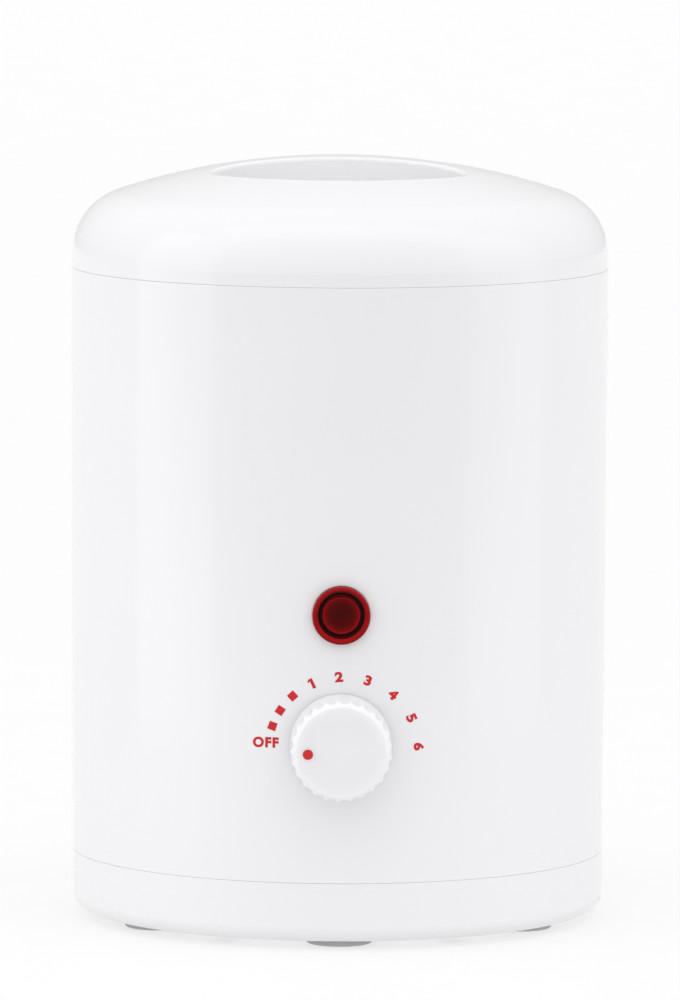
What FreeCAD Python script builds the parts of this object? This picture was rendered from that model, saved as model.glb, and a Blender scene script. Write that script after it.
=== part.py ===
import FreeCAD, Part
import math
import os
from types import SimpleNamespace

import Sketcher
from FreeCAD import Placement, Rotation, Vector

# A table-top wax heater: a round moulded casing with a heated well, a lift-out pot, a lid, a thermostat knob
# and a pilot lamp. The origin is the centre of the flat underside, +Z is up and the knob faces -Y.

# Driving sizes in millimetres, or in degrees where the words say so: name, value, what it measures
SIZES = (
    # Casing
    ("casing_air", 5.6, "room between the insulating sleeve and the casing's wall at the lid seam"),
    ("casing_taper", 0.64, "by how much the casing is slimmer at the base seam than at the lid seam"),
    ("casing_wall", 2.6, "wall of the casing"),
    ("base_seam_height", 16.5, "height of the base seam above the underside"),
    ("seam_gap", 0.04, "gap that shows as a fine line at both seams"),
    ("edge_round", 0.12, "rounding of the moulded edges at the seams"),
    ("ledge_gap", 2.9, "gap between the well and the casing's inner ledge"),
    ("ledge_thickness", 2.4, "thickness of the ledge"),
    ("fit_gap", 0.2, "gap between pieces that are pushed together"),
    # Base
    ("base_floor", 2.4, "thickness of the base's floor"),
    ("base_wall", 2.4, "thickness of the spigot that enters the casing"),
    ("base_edge_radius", 4.0, "rounding between the base's side and its underside"),
    ("spigot_height", 5.0, "height of the spigot above the base seam"),
    # Screw posts between base and casing
    ("post_gap", 2.16, "gap between a screw post and the base's spigot"),
    ("post_radius", 4.5, "radius of a screw post"),
    ("post_seat", 6.0, "thickness of a base post under its screw's head"),
    ("post_length", 26.0, "length of a casing post"),
    ("post_rib_width", 3.0, "width of the rib that ties a post to the wall"),
    ("base_screw_radius", 1.75, "radius of a base screw's shank"),
    ("base_screw_length", 20.0, "length of a base screw's shank"),
    ("base_head_radius", 3.2, "radius of a base screw's head"),
    ("base_head_height", 2.4, "height of a base screw's head"),
    ("counterbore_depth", 6.0, "depth of the recess for a base screw's head"),
    ("head_clearance", 0.5, "room round a screw's head"),
    ("screw_clearance", 0.1, "room round a screw's shank"),
    ("tip_room", 1.0, "room beyond a screw's tip"),
    # Feet
    ("foot_radius", 9.15, "radius of a foot"),
    ("foot_inset", 3.16, "distance of a foot from the edge of the flat underside"),
    ("foot_standing", 2.1, "height of the underside above the table"),
    ("foot_pocket", 0.8, "depth of a foot's pocket in the underside"),
    ("foot_round", 0.8, "rounding of a foot's lower edge"),
    ("foot_sole", 2.45, "width of a foot's flat sole round its shallow dish"),
    ("foot_dish", 0.4, "depth of the shallow dish in a foot"),
    # Lid
    ("lid_side", 3.46, "height of the lid's straight side"),
    ("lid_edge_radius", 18.5, "rounding between the lid's side and its dome"),
    ("dome_rise", 9.04, "rise of the dome above the rounding of the lid's edge"),
    ("lid_wall", 2.4, "wall of the lid"),
    ("lip_depth", 3.0, "depth of the lid's locating lip below the seam"),
    ("lip_thickness", 1.6, "thickness of the locating lip"),
    ("lip_clearance", 0.5, "gap between the lip and the casing"),
    ("lip_room", 1.0, "gap between the lip and the collar below it"),
    ("scoop_radius", 39.5, "radius of the round recess"),
    ("scoop_depth", 15.0, "depth of the recess below the top of the dome"),
    ("scoop_floor_round", 4.0, "rounding between a scoop's wall and its floor"),
    ("scoop_corner_extra", 6.0, "by how much the scoops' corners are rounder than their floors"),
    ("scoop_rim_round", 1.0, "rounding of the scoops' rims"),
    ("grip_width", 12.0, "width of the grip bar between the scoops"),
    ("lid_turn", -3.0, "angle by which the lid is turned on the casing, in degrees"),
    # Pot and well
    ("pot_radius", 56.5, "inner radius of the pot"),
    ("pot_wall", 1.2, "wall of the pot"),
    ("pot_depth", 97.5, "depth of the pot's underside below its flange"),
    ("pot_corner_radius", 8.0, "rounding between the pot's wall and its floor, outside"),
    ("pot_flange_width", 5.8, "width of the pot's flange"),
    ("pot_flange_thickness", 1.5, "thickness of the pot's flange"),
    ("pot_rim_round", 1.0, "rounding of the pot's rim"),
    ("ear_gap", 0.8, "gap between a lifting ear and the lid's lip"),
    ("ear_width", 32.0, "width of a lifting ear"),
    ("pot_clearance", 0.4, "gap between the pot's wall and the well"),
    ("seat_gap", 0.3, "gap where a lifting piece rests"),
    ("well_wall", 1.0, "wall of the well"),
    ("well_flange_thickness", 1.2, "thickness of the well's flange and floor"),
    ("well_flange_gap", 2.3, "gap between the well's flange and the casing's wall"),
    ("well_headroom", 4.2, "room between the thermostat and the well above it"),
    ("gasket_thickness", 1.0, "thickness of the gasket under the well's flange"),
    # Collar
    ("collar_height", 9.8, "height of the collar"),
    ("collar_wall", 2.0, "wall of the collar"),
    ("collar_plate", 2.2, "thickness of the collar's top"),
    ("notch_margin", 2.0, "room in a finger notch on each side of a lifting ear"),
    ("collar_screw_radius", 1.5, "radius of a collar screw's shank"),
    ("collar_screw_length", 9.0, "length of a collar screw's shank"),
    ("collar_boss_wall", 1.8, "wall of a screw boss in the collar"),
    # Heater
    ("band_rise", 25.5, "height of the heater band's lower edge above the well's floor"),
    ("band_margin", 10.0, "width of the heater band above and below its strap"),
    ("band_thickness", 1.5, "thickness of the heater band"),
    ("band_split", 16.0, "opening of the heater band at the rear"),
    ("strap_width", 20.0, "width of the strap round the heater band"),
    ("strap_thickness", 0.8, "thickness of the strap"),
    ("lug_reach", 2.8, "reach of the strap's lugs beyond the sleeve"),
    ("bolt_inset", 3.2, "distance of the strap's bolt from the end of a lug"),
    ("strap_bolt_radius", 2.0, "radius of the strap's bolt"),
    ("strap_bolt_overhang", 7.0, "length of the bolt beyond the nut's side of a lug"),
    ("sleeve_thickness", 5.0, "thickness of the insulating sleeve"),
    ("sleeve_gap", 8.0, "gap between a heater tab's upper end and the sleeve's lower edge"),
    ("tab_width", 6.3, "width of a push-on tab"),
    ("tab_thickness", 0.8, "thickness of a push-on tab"),
    ("tab_length", 8.0, "free length of a push-on tab"),
    ("tab_seat", 4.0, "length of a heater tab that lies on the band"),
    # Thermostat and knob
    ("knob_rise", 33.6, "height of the knob's axis above the base's spigot"),
    ("control_pad_step", 1.36, "step from the casing's wall to the thermostat's seat, at its edges"),
    ("thermostat_width", 34.0, "width of the thermostat"),
    ("thermostat_height", 36.0, "height of the thermostat"),
    ("thermostat_depth", 26.0, "depth of the thermostat"),
    ("rear_tab_drop", 7.2, "distance of the thermostat's rear tabs below its axis"),
    ("rear_tab_spread", 8.5, "distance of the thermostat's rear tabs from the middle"),
    ("top_tab_height", 4.0, "height of the tabs on top of the thermostat"),
    ("bush_wall", 2.0, "wall of the thermostat's threaded bush"),
    ("bush_nut_wall", 2.0, "least wall of the bush nut"),
    ("bush_nut_thickness", 3.0, "thickness of the bush nut"),
    ("bush_washer_width", 4.0, "width of the washer under the bush nut"),
    ("bush_washer_thickness", 0.8, "thickness of the washer"),
    ("seat_depth", 0.9, "depth of the flat seat under the washer"),
    ("shaft_radius", 3.0, "radius of the thermostat's shaft"),
    ("shaft_flat_depth", 1.2, "depth of the flat on the shaft"),
    ("shaft_clearance", 0.05, "running clearance round the shaft"),
    ("shaft_socket", 10.0, "depth of the shaft in the thermostat"),
    ("knob_radius", 13.8, "radius of the knob"),
    ("knob_bevel", 1.5, "width of the bevel round the knob's face"),
    ("knob_gap", 0.6, "gap between the knob's back and the casing"),
    ("knob_wall", 2.0, "wall of the knob"),
    ("knob_hub_wall", 2.4, "wall of the knob's hub"),
    ("knob_hub_length", 10.0, "length of the hub's bore"),
    ("knob_hub_floor", 1.0, "thickness of the hub's end behind the knob's face"),
    ("hub_gap", 2.1, "gap between the bush and the knob's hub"),
    ("flute_count", 25, "number of flutes round the knob"),
    ("flute_radius", 2.5, "radius of a flute"),
    ("flute_depth", 0.7, "depth of a flute at the knob's face"),
    ("flute_run", 13.0, "length over which a flute runs out behind the knob's face"),
    ("dot_radius", 1.4, "radius of the pointer dot"),
    ("dot_inset", 1.8, "distance of the pointer dot from the edge of the knob's face"),
    ("dot_angle", 184.0, "angle of the pointer dot at OFF, in degrees anticlockwise from the right"),
    ("dot_depth", 0.5, "thickness of the pointer dot"),
    ("spring_thickness", 0.4, "thickness of the spring clip in the knob's hub"),
    # Sensor, fuse and earth stud under the well
    ("bulb_radius", 3.0, "radius of the sensor bulb"),
    ("bulb_length", 60.0, "length of the sensor bulb"),
    ("bulb_offset", 8.0, "distance of the sensor bulb behind the axis"),
    ("capillary_radius", 0.9, "radius of the capillary tube"),
    ("capillary_drop", 6.0, "distance of the capillary tube's root below the thermostat's top"),
    ("fuse_radius", 2.0, "radius of the thermal fuse"),
    ("fuse_length", 12.0, "length of the thermal fuse"),
    ("fuse_lead_radius", 0.5, "radius of a fuse lead"),
    ("fuse_lead_length", 8.0, "length of a fuse lead"),
    ("fuse_offset", 18.0, "distance of the thermal fuse in front of the axis"),
    ("clip_thickness", 0.8, "thickness of the clips under the well"),
    ("clip_foot", 5.0, "width of a clip's foot"),
    ("clip_width", 9.0, "width of a clip along its rod"),
    ("rod_gap", 0.1, "gap round a clipped rod"),
    ("earth_stud_radius", 2.0, "radius of the earth stud"),
    ("earth_stud_length", 9.0, "length of the earth stud"),
    ("earth_stud_offset", 30.0, "distance of the earth stud behind the axis"),
    ("small_nut_flats", 7.0, "width of a small nut across its flats"),
    ("small_nut_thickness", 2.4, "thickness of a small nut"),
    # Pilot lamp
    ("lamp_rise", 17.4, "height of the pilot lamp's axis above the thermostat"),
    ("neon_radius", 2.6, "radius of the neon bulb"),
    ("neon_gap", 1.4, "gap between the neon bulb and the lens's spigot"),
    ("lens_wall", 1.1, "wall of the lens"),
    ("lens_spigot_length", 4.0, "length of the lens's spigot behind its seat"),
    ("lens_seat_depth", 0.5, "depth of the lens's flat seat in the casing"),
    ("lens_button_wall", 1.3, "wall of the lens's middle round its hollow"),
    ("lens_button_rise", 1.4, "height of the lens's middle above the groove round it"),
    ("lens_button_round", 0.45, "rounding of the lens's middle"),
    ("lens_groove_width", 0.85, "width of the groove between the lens's middle and its ring"),
    ("lens_groove_floor", 0.9, "height of the groove's floor above the seat"),
    ("lens_ring_width", 1.8, "width of the lens's ring"),
    ("lens_crown", 3.0, "height of the lens's ring above its seat"),
    ("barrel_wall", 1.0, "wall of the lamp's barrel"),
    ("barrel_tail", 5.1, "length of the lamp's barrel behind its boss"),
    ("tail_drop", 0.3, "how far the lead block under the barrel reaches below it"),
    ("lamp_boss_width", 3.2, "width of the boss round the lamp's barrel"),
    ("lamp_pad_step", 1.67, "step from the casing's wall in to the boss's face, at the boss's edge"),
    ("lamp_clip_thickness", 0.6, "thickness of the lamp's retaining clip"),
    ("lead_radius", 0.8, "radius of a lamp lead"),
    ("lead_spread", 4.0, "distance of a lamp lead from the middle"),
    # Cord gland in the rear wall
    ("gland_gap", 2.0, "gap between the base's spigot and the gland's boss"),
    ("gland_bore_radius", 3.5, "radius of the gland's bore at its outer lip"),
    ("gland_lip", 1.2, "length of the gland's outer lip"),
    ("gland_relief", 0.7, "by how much the gland's bore is wider behind its lip"),
    ("gland_neck_wall", 2.5, "wall of the gland's neck"),
    ("gland_flange_width", 2.4, "width of the gland's flanges beyond the neck"),
    ("gland_flange_thickness", 2.4, "thickness of the gland's flanges"),
    ("gland_seat_depth", 0.6, "depth of the gland's flat seat in the casing"),
    ("gland_pad_step", 1.15, "step from the casing's wall in to the gland's inner face, at the boss's edge"),
    # Terminal block on the base
    ("block_web", 1.15, "wall between a terminal's well and the nearest fixing hole"),
    ("block_end", 6.0, "length of the block beyond its outer terminals"),
    ("block_width", 16.0, "width of the terminal block"),
    ("block_tall", 12.0, "height of the terminal block"),
    ("block_offset", 32.0, "distance of the terminal block behind the axis"),
    ("block_boss_height", 4.0, "height of the bosses under the terminal block"),
    ("block_boss_wall", 1.85, "wall of a boss under the terminal block"),
    ("terminal_rise", 4.8, "height of the terminals' wires above the block's underside"),
    ("clamp_well_depth", 3.6, "depth of the wells for the terminals' screws"),
    ("block_screw_radius", 1.25, "radius of a block screw's shank"),
    ("small_head_radius", 2.3, "radius of a small screw's head"),
    ("small_head_height", 1.8, "height of a small screw's head"),
    ("wire_radius", 1.1, "radius of an insulated wire"),
    ("wire_entry", 5.0, "depth of a wire in the terminal block"),
)

FOOT_ANGLES = range(30, 390, 60)
POST_ANGLES = (60, 120, 240, 300)
COLLAR_SCREW_ANGLES = (45, 135, 225, 315)
HEATER_TAB_ANGLES = (60, 120)
SIDES = (-1, 1)
PAST = 1.0              # how far a cutting solid runs past the face that it cuts
HEAD_SIDE = 0.6         # share of a screw's head height that is straight
HEAD_CROWN = 0.75       # share of a screw's head radius that is flat on top
RECESS_LENGTH = 1.2     # length of a screw's cross recess as a share of the head radius
RECESS_WIDTH = 0.25     # width of a screw's cross recess as a share of the head radius
RECESS_FLOOR = 0.45     # height of a screw's recess floor as a share of the head height
ON_SURFACE = 0.001      # how near an edge lies to the surface that it is said to be on
BEND_SHARE = 0.45       # share of the shorter of two runs that a lead's bend takes up
WIRE_START = 7.0        # straight length of a wire at a terminal
WIRE_END = 8.0          # straight length of a wire at a tab, a stud or a bulb under the well
NO_TURN = Rotation()
FRONTWARDS = Rotation(Vector(1, 0, 0), 90)     # local +Z looks out of the front, local +Y stays up
REARWARDS = Rotation(Vector(1, 0, 0), -90)     # local +Z looks out of the rear
SIDEWAYS = Rotation(Vector(0, 1, 0), 90)       # local +Z looks along +X
UPSIDE_DOWN = Rotation(Vector(1, 0, 0), 180)   # local +Z looks down

doc = FreeCAD.newDocument("wax_heater")
sheet = doc.addObject("Spreadsheet::Sheet", "sizes")
for row, (alias, value, words) in enumerate(SIZES, start=1):
    sheet.set(f"A{row}", words)
    sheet.set(f"B{row}", str(value))
    sheet.setAlias(f"B{row}", alias)
doc.recompute()


class Size:
    """A size: its value, and the formula on the sheet's cells that gives it."""

    def __init__(self, value, formula):
        self.value = float(value)
        self.formula = formula

    def __float__(self):
        return self.value

    def __add__(self, other):
        other = as_size(other)
        return Size(self.value + other.value, f"({self.formula} + {other.formula})")

    def __sub__(self, other):
        other = as_size(other)
        return Size(self.value - other.value, f"({self.formula} - {other.formula})")

    def __mul__(self, other):
        other = as_size(other)
        return Size(self.value * other.value, f"({self.formula} * {other.formula})")

    def __truediv__(self, other):
        other = as_size(other)
        return Size(self.value / other.value, f"({self.formula} / {other.formula})")

    def __radd__(self, other):
        return as_size(other) + self

    def __rsub__(self, other):
        return as_size(other) - self

    def __rmul__(self, other):
        return as_size(other) * self

    def __neg__(self):
        return as_size(0) - self


def as_size(quantity):
    """A plain number as a size, and a size as it is."""
    if isinstance(quantity, Size):
        return quantity
    return Size(quantity, repr(float(quantity)))


def root(quantity):
    """The square root of a size."""
    return Size(math.sqrt(quantity.value), f"sqrt({quantity.formula})")


def polar(radius, degrees):
    """The x and y of a place at a radius and an angle about the axis."""
    angle = math.radians(degrees)
    radius = as_size(radius)
    return (radius * Size(math.cos(angle), f"cos({degrees} deg)"),
            radius * Size(math.sin(angle), f"sin({degrees} deg)"))


dim = SimpleNamespace(**{alias: Size(value, f"sizes.{alias}") for alias, value, words in SIZES})
nodes = []


# How solids are drawn, placed and joined

def bind(thing, prop, quantity):
    """Ties one property of a document object to the sheet."""
    thing.setExpression(prop, as_size(quantity).formula)


def place(thing, at=(0, 0, 0), turn=NO_TURN):
    """Sets a document object's placement and ties its place to the sheet."""
    thing.Placement = Placement(Vector(*(float(c) for c in at)), turn)
    for axis, coordinate in zip("xyz", at):
        if isinstance(coordinate, Size):
            bind(thing, f"Placement.Base.{axis}", coordinate)
    return thing


def keep(thing):
    """Lists a finished sub-part, which is written to a file of its own."""
    nodes.append(thing)
    return thing


def fix_corner(sketch, edge, end, corner):
    """Ties one corner of an outline to the sheet, or to a sketch axis where it lies on one."""
    for direction, axis, coordinate in zip(("DistanceX", "DistanceY"), (-2, -1), corner):
        if as_size(coordinate).value == 0:
            sketch.addConstraint(Sketcher.Constraint("PointOnObject", edge, end, axis))
        else:
            value = as_size(coordinate).value
            index = sketch.addConstraint(Sketcher.Constraint(direction, edge, end, value))
            bind(sketch, f"Constraints[{index}]", coordinate)


def fix_centre(sketch, edge, start, finish, centre):
    """Ties the centre of an arc between two fixed corners, along the way that is still free."""
    across = abs(finish.x - start.x)
    upwards = abs(finish.y - start.y)
    direction, axis, coordinate = ("DistanceX", -2, centre[0])
    if across > upwards:
        direction, axis, coordinate = ("DistanceY", -1, centre[1])
    if as_size(coordinate).value == 0:
        sketch.addConstraint(Sketcher.Constraint("PointOnObject", edge, 3, axis))
        return
    index = sketch.addConstraint(Sketcher.Constraint(direction, edge, 3, as_size(coordinate).value))
    bind(sketch, f"Constraints[{index}]", coordinate)


def draw(body, plane_role, outline):
    """A sketch of a closed outline. A corner with four numbers is reached by an arc about the last two."""
    sketch = body.newObject("Sketcher::SketchObject", body.Name + "_outline")
    plane = next(feature for feature in body.Origin.OriginFeatures if feature.Role == plane_role)
    sketch.AttachmentSupport = [(plane, "")]
    sketch.MapMode = "FlatFace"
    spots = [Vector(float(corner[0]), float(corner[1]), 0) for corner in outline]
    ends = []
    for number, start in enumerate(spots):
        following = (number + 1) % len(spots)
        finish = spots[following]
        corner = outline[following]
        if len(corner) == 2:
            sketch.addGeometry(Part.LineSegment(start, finish))
            ends.append((1, 2))
            continue
        centre = Vector(float(corner[2]), float(corner[3]), 0)
        first, last = start - centre, finish - centre
        leftwards = first.cross(last).z > 0
        low, high = (first, last) if leftwards else (last, first)
        circle = Part.Circle(centre, Vector(0, 0, 1), first.Length)
        sketch.addGeometry(Part.ArcOfCircle(circle, math.atan2(low.y, low.x), math.atan2(high.y, high.x)))
        ends.append((1, 2) if leftwards else (2, 1))
    for number, own_ends in enumerate(ends):
        following = (number + 1) % len(spots)
        meeting = (number, own_ends[1], following, ends[following][0])
        sketch.addConstraint(Sketcher.Constraint("Coincident", *meeting))
    for number, corner in enumerate(outline):
        fix_corner(sketch, number, ends[number][0], corner[:2])
    for number in range(len(outline)):
        following = (number + 1) % len(outline)
        if len(outline[following]) == 4:
            fix_centre(sketch, number, spots[number], spots[following], outline[following][2:])
    return sketch


def turned(name, outline, at=(0, 0, 0), turn=NO_TURN):
    """A body turned about its own Z axis from an outline of radius and height."""
    body = doc.addObject("PartDesign::Body", name)
    sketch = draw(body, "XZ_Plane", outline)
    revolution = body.newObject("PartDesign::Revolution", name + "_turned")
    revolution.Profile = sketch
    revolution.ReferenceAxis = (sketch, ["V_Axis"])
    revolution.Angle = 360
    sketch.Visibility = False
    return place(body, at, turn)


def padded(name, plane_role, outline, length, at=(0, 0, 0), turn=NO_TURN):
    """A body padded from an outline on one of its origin planes."""
    body = doc.addObject("PartDesign::Body", name)
    sketch = draw(body, plane_role, outline)
    pad = body.newObject("PartDesign::Pad", name + "_padded")
    pad.Profile = sketch
    bind(pad, "Length", length)
    return place(body, at, turn)


def ring(name, inner, outer, bottom, top, at=(0, 0, 0), turn=NO_TURN):
    """A plain ring about its own Z axis."""
    return turned(name, [(inner, bottom), (outer, bottom), (outer, top), (inner, top)], at, turn)


def cylinder(name, radius, height, at=(0, 0, 0), turn=NO_TURN):
    """A cylinder that stands on its place along its local Z."""
    thing = doc.addObject("Part::Cylinder", name)
    bind(thing, "Radius", radius)
    bind(thing, "Height", height)
    return place(thing, at, turn)


def box(name, length, width, height, middle):
    """A box whose lower face is centred on a place."""
    thing = doc.addObject("Part::Box", name)
    bind(thing, "Length", length)
    bind(thing, "Width", width)
    bind(thing, "Height", height)
    x, y, z = middle
    return place(thing, (x - as_size(length) / 2, y - as_size(width) / 2, z))


def spoke(name, start, length, width, bottom, height, degrees):
    """A box that points away from the axis at an angle."""
    thing = doc.addObject("Part::Box", name)
    bind(thing, "Length", length)
    bind(thing, "Width", width)
    bind(thing, "Height", height)
    along = polar(start, degrees)
    aside = polar(width / 2, degrees - 90)
    at = (along[0] + aside[0], along[1] + aside[1], bottom)
    return place(thing, at, Rotation(Vector(0, 0, 1), degrees))


def hexagon(name, flats, height, at=(0, 0, 0), turn=NO_TURN):
    """A six-sided prism, given across its flats."""
    thing = doc.addObject("Part::Prism", name)
    thing.Polygon = 6
    bind(thing, "Circumradius", flats / math.sqrt(3))
    bind(thing, "Height", height)
    return place(thing, at, turn)


def fuse(name, things):
    """Several solids joined into one."""
    joined = doc.addObject("Part::MultiFuse", name)
    joined.Shapes = things
    joined.Refine = True
    return joined


def cut(name, base, tools):
    """A solid with one or more others taken away."""
    remainder = doc.addObject("Part::Cut", name)
    remainder.Base = base
    remainder.Tool = tools[0] if len(tools) == 1 else fuse(name + "_tools", tools)
    return remainder


def common(name, base, tool):
    """What two solids share."""
    shared = doc.addObject("Part::Common", name)
    shared.Base = base
    shared.Tool = tool
    return shared


def group(name, things):
    """Separate solids of one kind, kept in one sub-part."""
    gathered = doc.addObject("Part::Compound", name)
    gathered.Links = things
    return gathered


def screw(name, head, shank, at, turn=NO_TURN):
    """A pan-head screw with a cross recess: its shank runs along local -Z, its head stands on z = 0."""
    head_radius, head_height = head
    shank_radius, shank_length = shank
    blank = turned(name + "_blank", [(0, -shank_length), (shank_radius, -shank_length), (shank_radius, 0),
                                     (head_radius, 0), (head_radius, head_height * HEAD_SIDE),
                                     (head_radius * HEAD_CROWN, head_height), (0, head_height)])
    slots = []
    long, wide = head_radius * RECESS_LENGTH, head_radius * RECESS_WIDTH
    for part, along, across in (("_slot_x", long, wide), ("_slot_y", wide, long)):
        slots.append(box(name + part, along, across, head_height, (0, 0, head_height * RECESS_FLOOR)))
    return place(cut(name, blank, slots), at, turn)


def nut(name, flats, thickness, hole, at, turn=NO_TURN):
    """A hexagonal nut round a plain hole."""
    blank = hexagon(name + "_blank", flats, thickness)
    bore = cylinder(name + "_bore", hole, thickness + 2 * PAST, (0, 0, -PAST))
    return place(cut(name, blank, [bore]), at, turn)


def wire(name, radius, points):
    """A round lead along straight runs joined by arcs, each as large as its two runs allow."""
    spots = [Vector(*(float(c) for c in point)) for point in points]
    edges = []
    radii = []
    reached = spots[0]
    for before, corner, after in zip(spots, spots[1:], spots[2:]):
        arriving = (corner - before).normalize()
        leaving = (after - corner).normalize()
        half_turn = arriving.getAngle(leaving) / 2
        tangent = BEND_SHARE * min(before.distanceToPoint(corner), corner.distanceToPoint(after))
        bend = tangent / math.tan(half_turn)
        start, finish = corner - arriving * tangent, corner + leaving * tangent
        middle = corner + (leaving - arriving).normalize() * (bend / math.cos(half_turn) - bend)
        edges += [Part.LineSegment(reached, start).toShape(), Part.Arc(start, middle, finish).toShape()]
        radii.append(round(bend, 1))
        reached = finish
    edges.append(Part.LineSegment(reached, spots[-1]).toShape())
    path = Part.Wire(edges)
    section = Part.Wire([Part.Circle(spots[0], spots[1] - spots[0], float(radius)).toShape()])
    lead = doc.addObject("Part::Feature", name)
    lead.Shape = path.makePipeShell([section], True, False)
    share = lead.Shape.Volume / (math.pi * float(radius) ** 2 * path.Length)
    print(name, "length", round(path.Length, 1), "volume share", round(share, 4), "bends", radii)
    return place(lead)


# Heights that several pieces share, from the base up to the lid

casing_foot = dim.base_seam_height + dim.seam_gap / 2
base_top = dim.base_seam_height - dim.seam_gap / 2
spigot_top = dim.base_seam_height + dim.spigot_height
knob_axis = spigot_top + dim.knob_rise
thermostat_bottom = knob_axis - dim.thermostat_height / 2
thermostat_top = knob_axis + dim.thermostat_height / 2
lamp_axis = thermostat_top + dim.lamp_rise
well_bottom = thermostat_top + dim.well_headroom
well_floor = well_bottom + dim.well_flange_thickness
pot_bottom = well_floor + dim.seat_gap
pot_flange_bottom = pot_bottom + dim.pot_depth
collar_top = pot_flange_bottom - dim.seat_gap
well_flange_top = collar_top - dim.collar_height
gasket_top = well_flange_top - dim.well_flange_thickness
ledge_top = gasket_top - dim.gasket_thickness
ledge_bottom = ledge_top - dim.ledge_thickness
lid_seam = collar_top + dim.lip_room + dim.lip_depth
casing_head = lid_seam - dim.seam_gap
lid_top = lid_seam + dim.lid_side + dim.lid_edge_radius + dim.dome_rise
block_floor = dim.base_floor + dim.block_boss_height
terminal_height = block_floor + dim.terminal_rise

# Radii that several pieces share, from the pot out to the casing

pot_outer = dim.pot_radius + dim.pot_wall
pot_flange_radius = pot_outer + dim.pot_flange_width
well_inner = pot_outer + dim.pot_clearance
well_outer = well_inner + dim.well_wall
band_inner = well_outer + dim.fit_gap
band_outer = band_inner + dim.band_thickness
strap_outer = band_outer + dim.strap_thickness
sleeve_inner = strap_outer + dim.fit_gap
sleeve_outer = sleeve_inner + dim.sleeve_thickness
casing_top_radius = sleeve_outer + dim.casing_air + dim.casing_wall
casing_base_radius = casing_top_radius - dim.casing_taper
casing_core = casing_base_radius - dim.casing_wall / 2
taper = dim.casing_taper / (lid_seam - dim.base_seam_height)


def casing_radius(height):
    """The casing's outer radius at a height, on one straight taper from base to lid."""
    return casing_base_radius + taper * (height - dim.base_seam_height)


def wall_inside(height, half_width):
    """How far out the casing's inner wall stands at a height, at a distance from the middle."""
    inner = casing_radius(height) - dim.casing_wall
    return root(inner * inner - half_width * half_width)


ledge_radius = well_outer + dim.ledge_gap
well_flange_radius = casing_radius(ledge_top) - dim.casing_wall - dim.well_flange_gap
collar_inner = well_inner + dim.fit_gap
collar_outer = casing_radius(ledge_top) - dim.casing_wall - dim.fit_gap
collar_screw_circle = (collar_inner + collar_outer) / 2
lip_outer = casing_radius(casing_head) - dim.casing_wall - dim.lip_clearance
lip_inner = lip_outer - dim.lip_thickness
spigot_outer = casing_radius(casing_foot) - dim.casing_wall - dim.fit_gap
spigot_inner = spigot_outer - dim.base_wall
post_circle = spigot_inner - dim.post_gap - dim.post_radius
post_joint = dim.counterbore_depth + dim.post_seat
underside_radius = casing_radius(dim.base_edge_radius) - dim.base_edge_radius
foot_circle = underside_radius - dim.foot_inset - dim.foot_radius

# Seats of the thermostat, the lamp and the gland: distances from the axis, and the radii that fit them

control_front = casing_radius(knob_axis)
control_pad = wall_inside(knob_axis, dim.thermostat_width / 2) - dim.control_pad_step
bush_radius = dim.shaft_radius + dim.bush_wall
bush_washer_radius = bush_radius + dim.bush_washer_width
washer_seat = control_front - dim.seat_depth
nut_seat = washer_seat + dim.bush_washer_thickness
bush_end = nut_seat + dim.bush_nut_thickness
knob_back = control_front + dim.knob_gap
lens_bore = dim.neon_radius + dim.neon_gap
lens_spigot = lens_bore + dim.lens_wall
lens_button = lens_bore + dim.lens_button_wall
lens_ring_inner = lens_button + dim.lens_groove_width
lens_radius = lens_ring_inner + dim.lens_ring_width
barrel_inner = lens_spigot + dim.fit_gap
barrel_radius = barrel_inner + dim.barrel_wall
lamp_boss_radius = barrel_radius + dim.lamp_boss_width
lens_seat = casing_radius(lamp_axis) - dim.lens_seat_depth
lamp_pad = wall_inside(lamp_axis, lamp_boss_radius) - dim.lamp_pad_step
lamp_rear = lamp_pad - dim.barrel_tail
gland_neck = dim.gland_bore_radius + dim.gland_neck_wall
gland_flange = gland_neck + dim.gland_flange_width
gland_boss_radius = gland_flange + dim.casing_wall
gland_axis = spigot_top + dim.gland_gap + gland_boss_radius
gland_seat = casing_radius(gland_axis) - dim.gland_seat_depth
gland_pad = wall_inside(gland_axis, gland_boss_radius) - dim.gland_pad_step

base_screw_hole = dim.base_screw_radius + dim.screw_clearance
collar_screw_hole = dim.collar_screw_radius + dim.screw_clearance
block_screw_hole = dim.block_screw_radius + dim.screw_clearance
block_pitch = 2 * (dim.small_head_radius + dim.fit_gap + dim.block_web + block_screw_hole)


# Casing: tapered shell with the ledge, the screw posts and the flat seats for thermostat, lamp and gland

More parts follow.
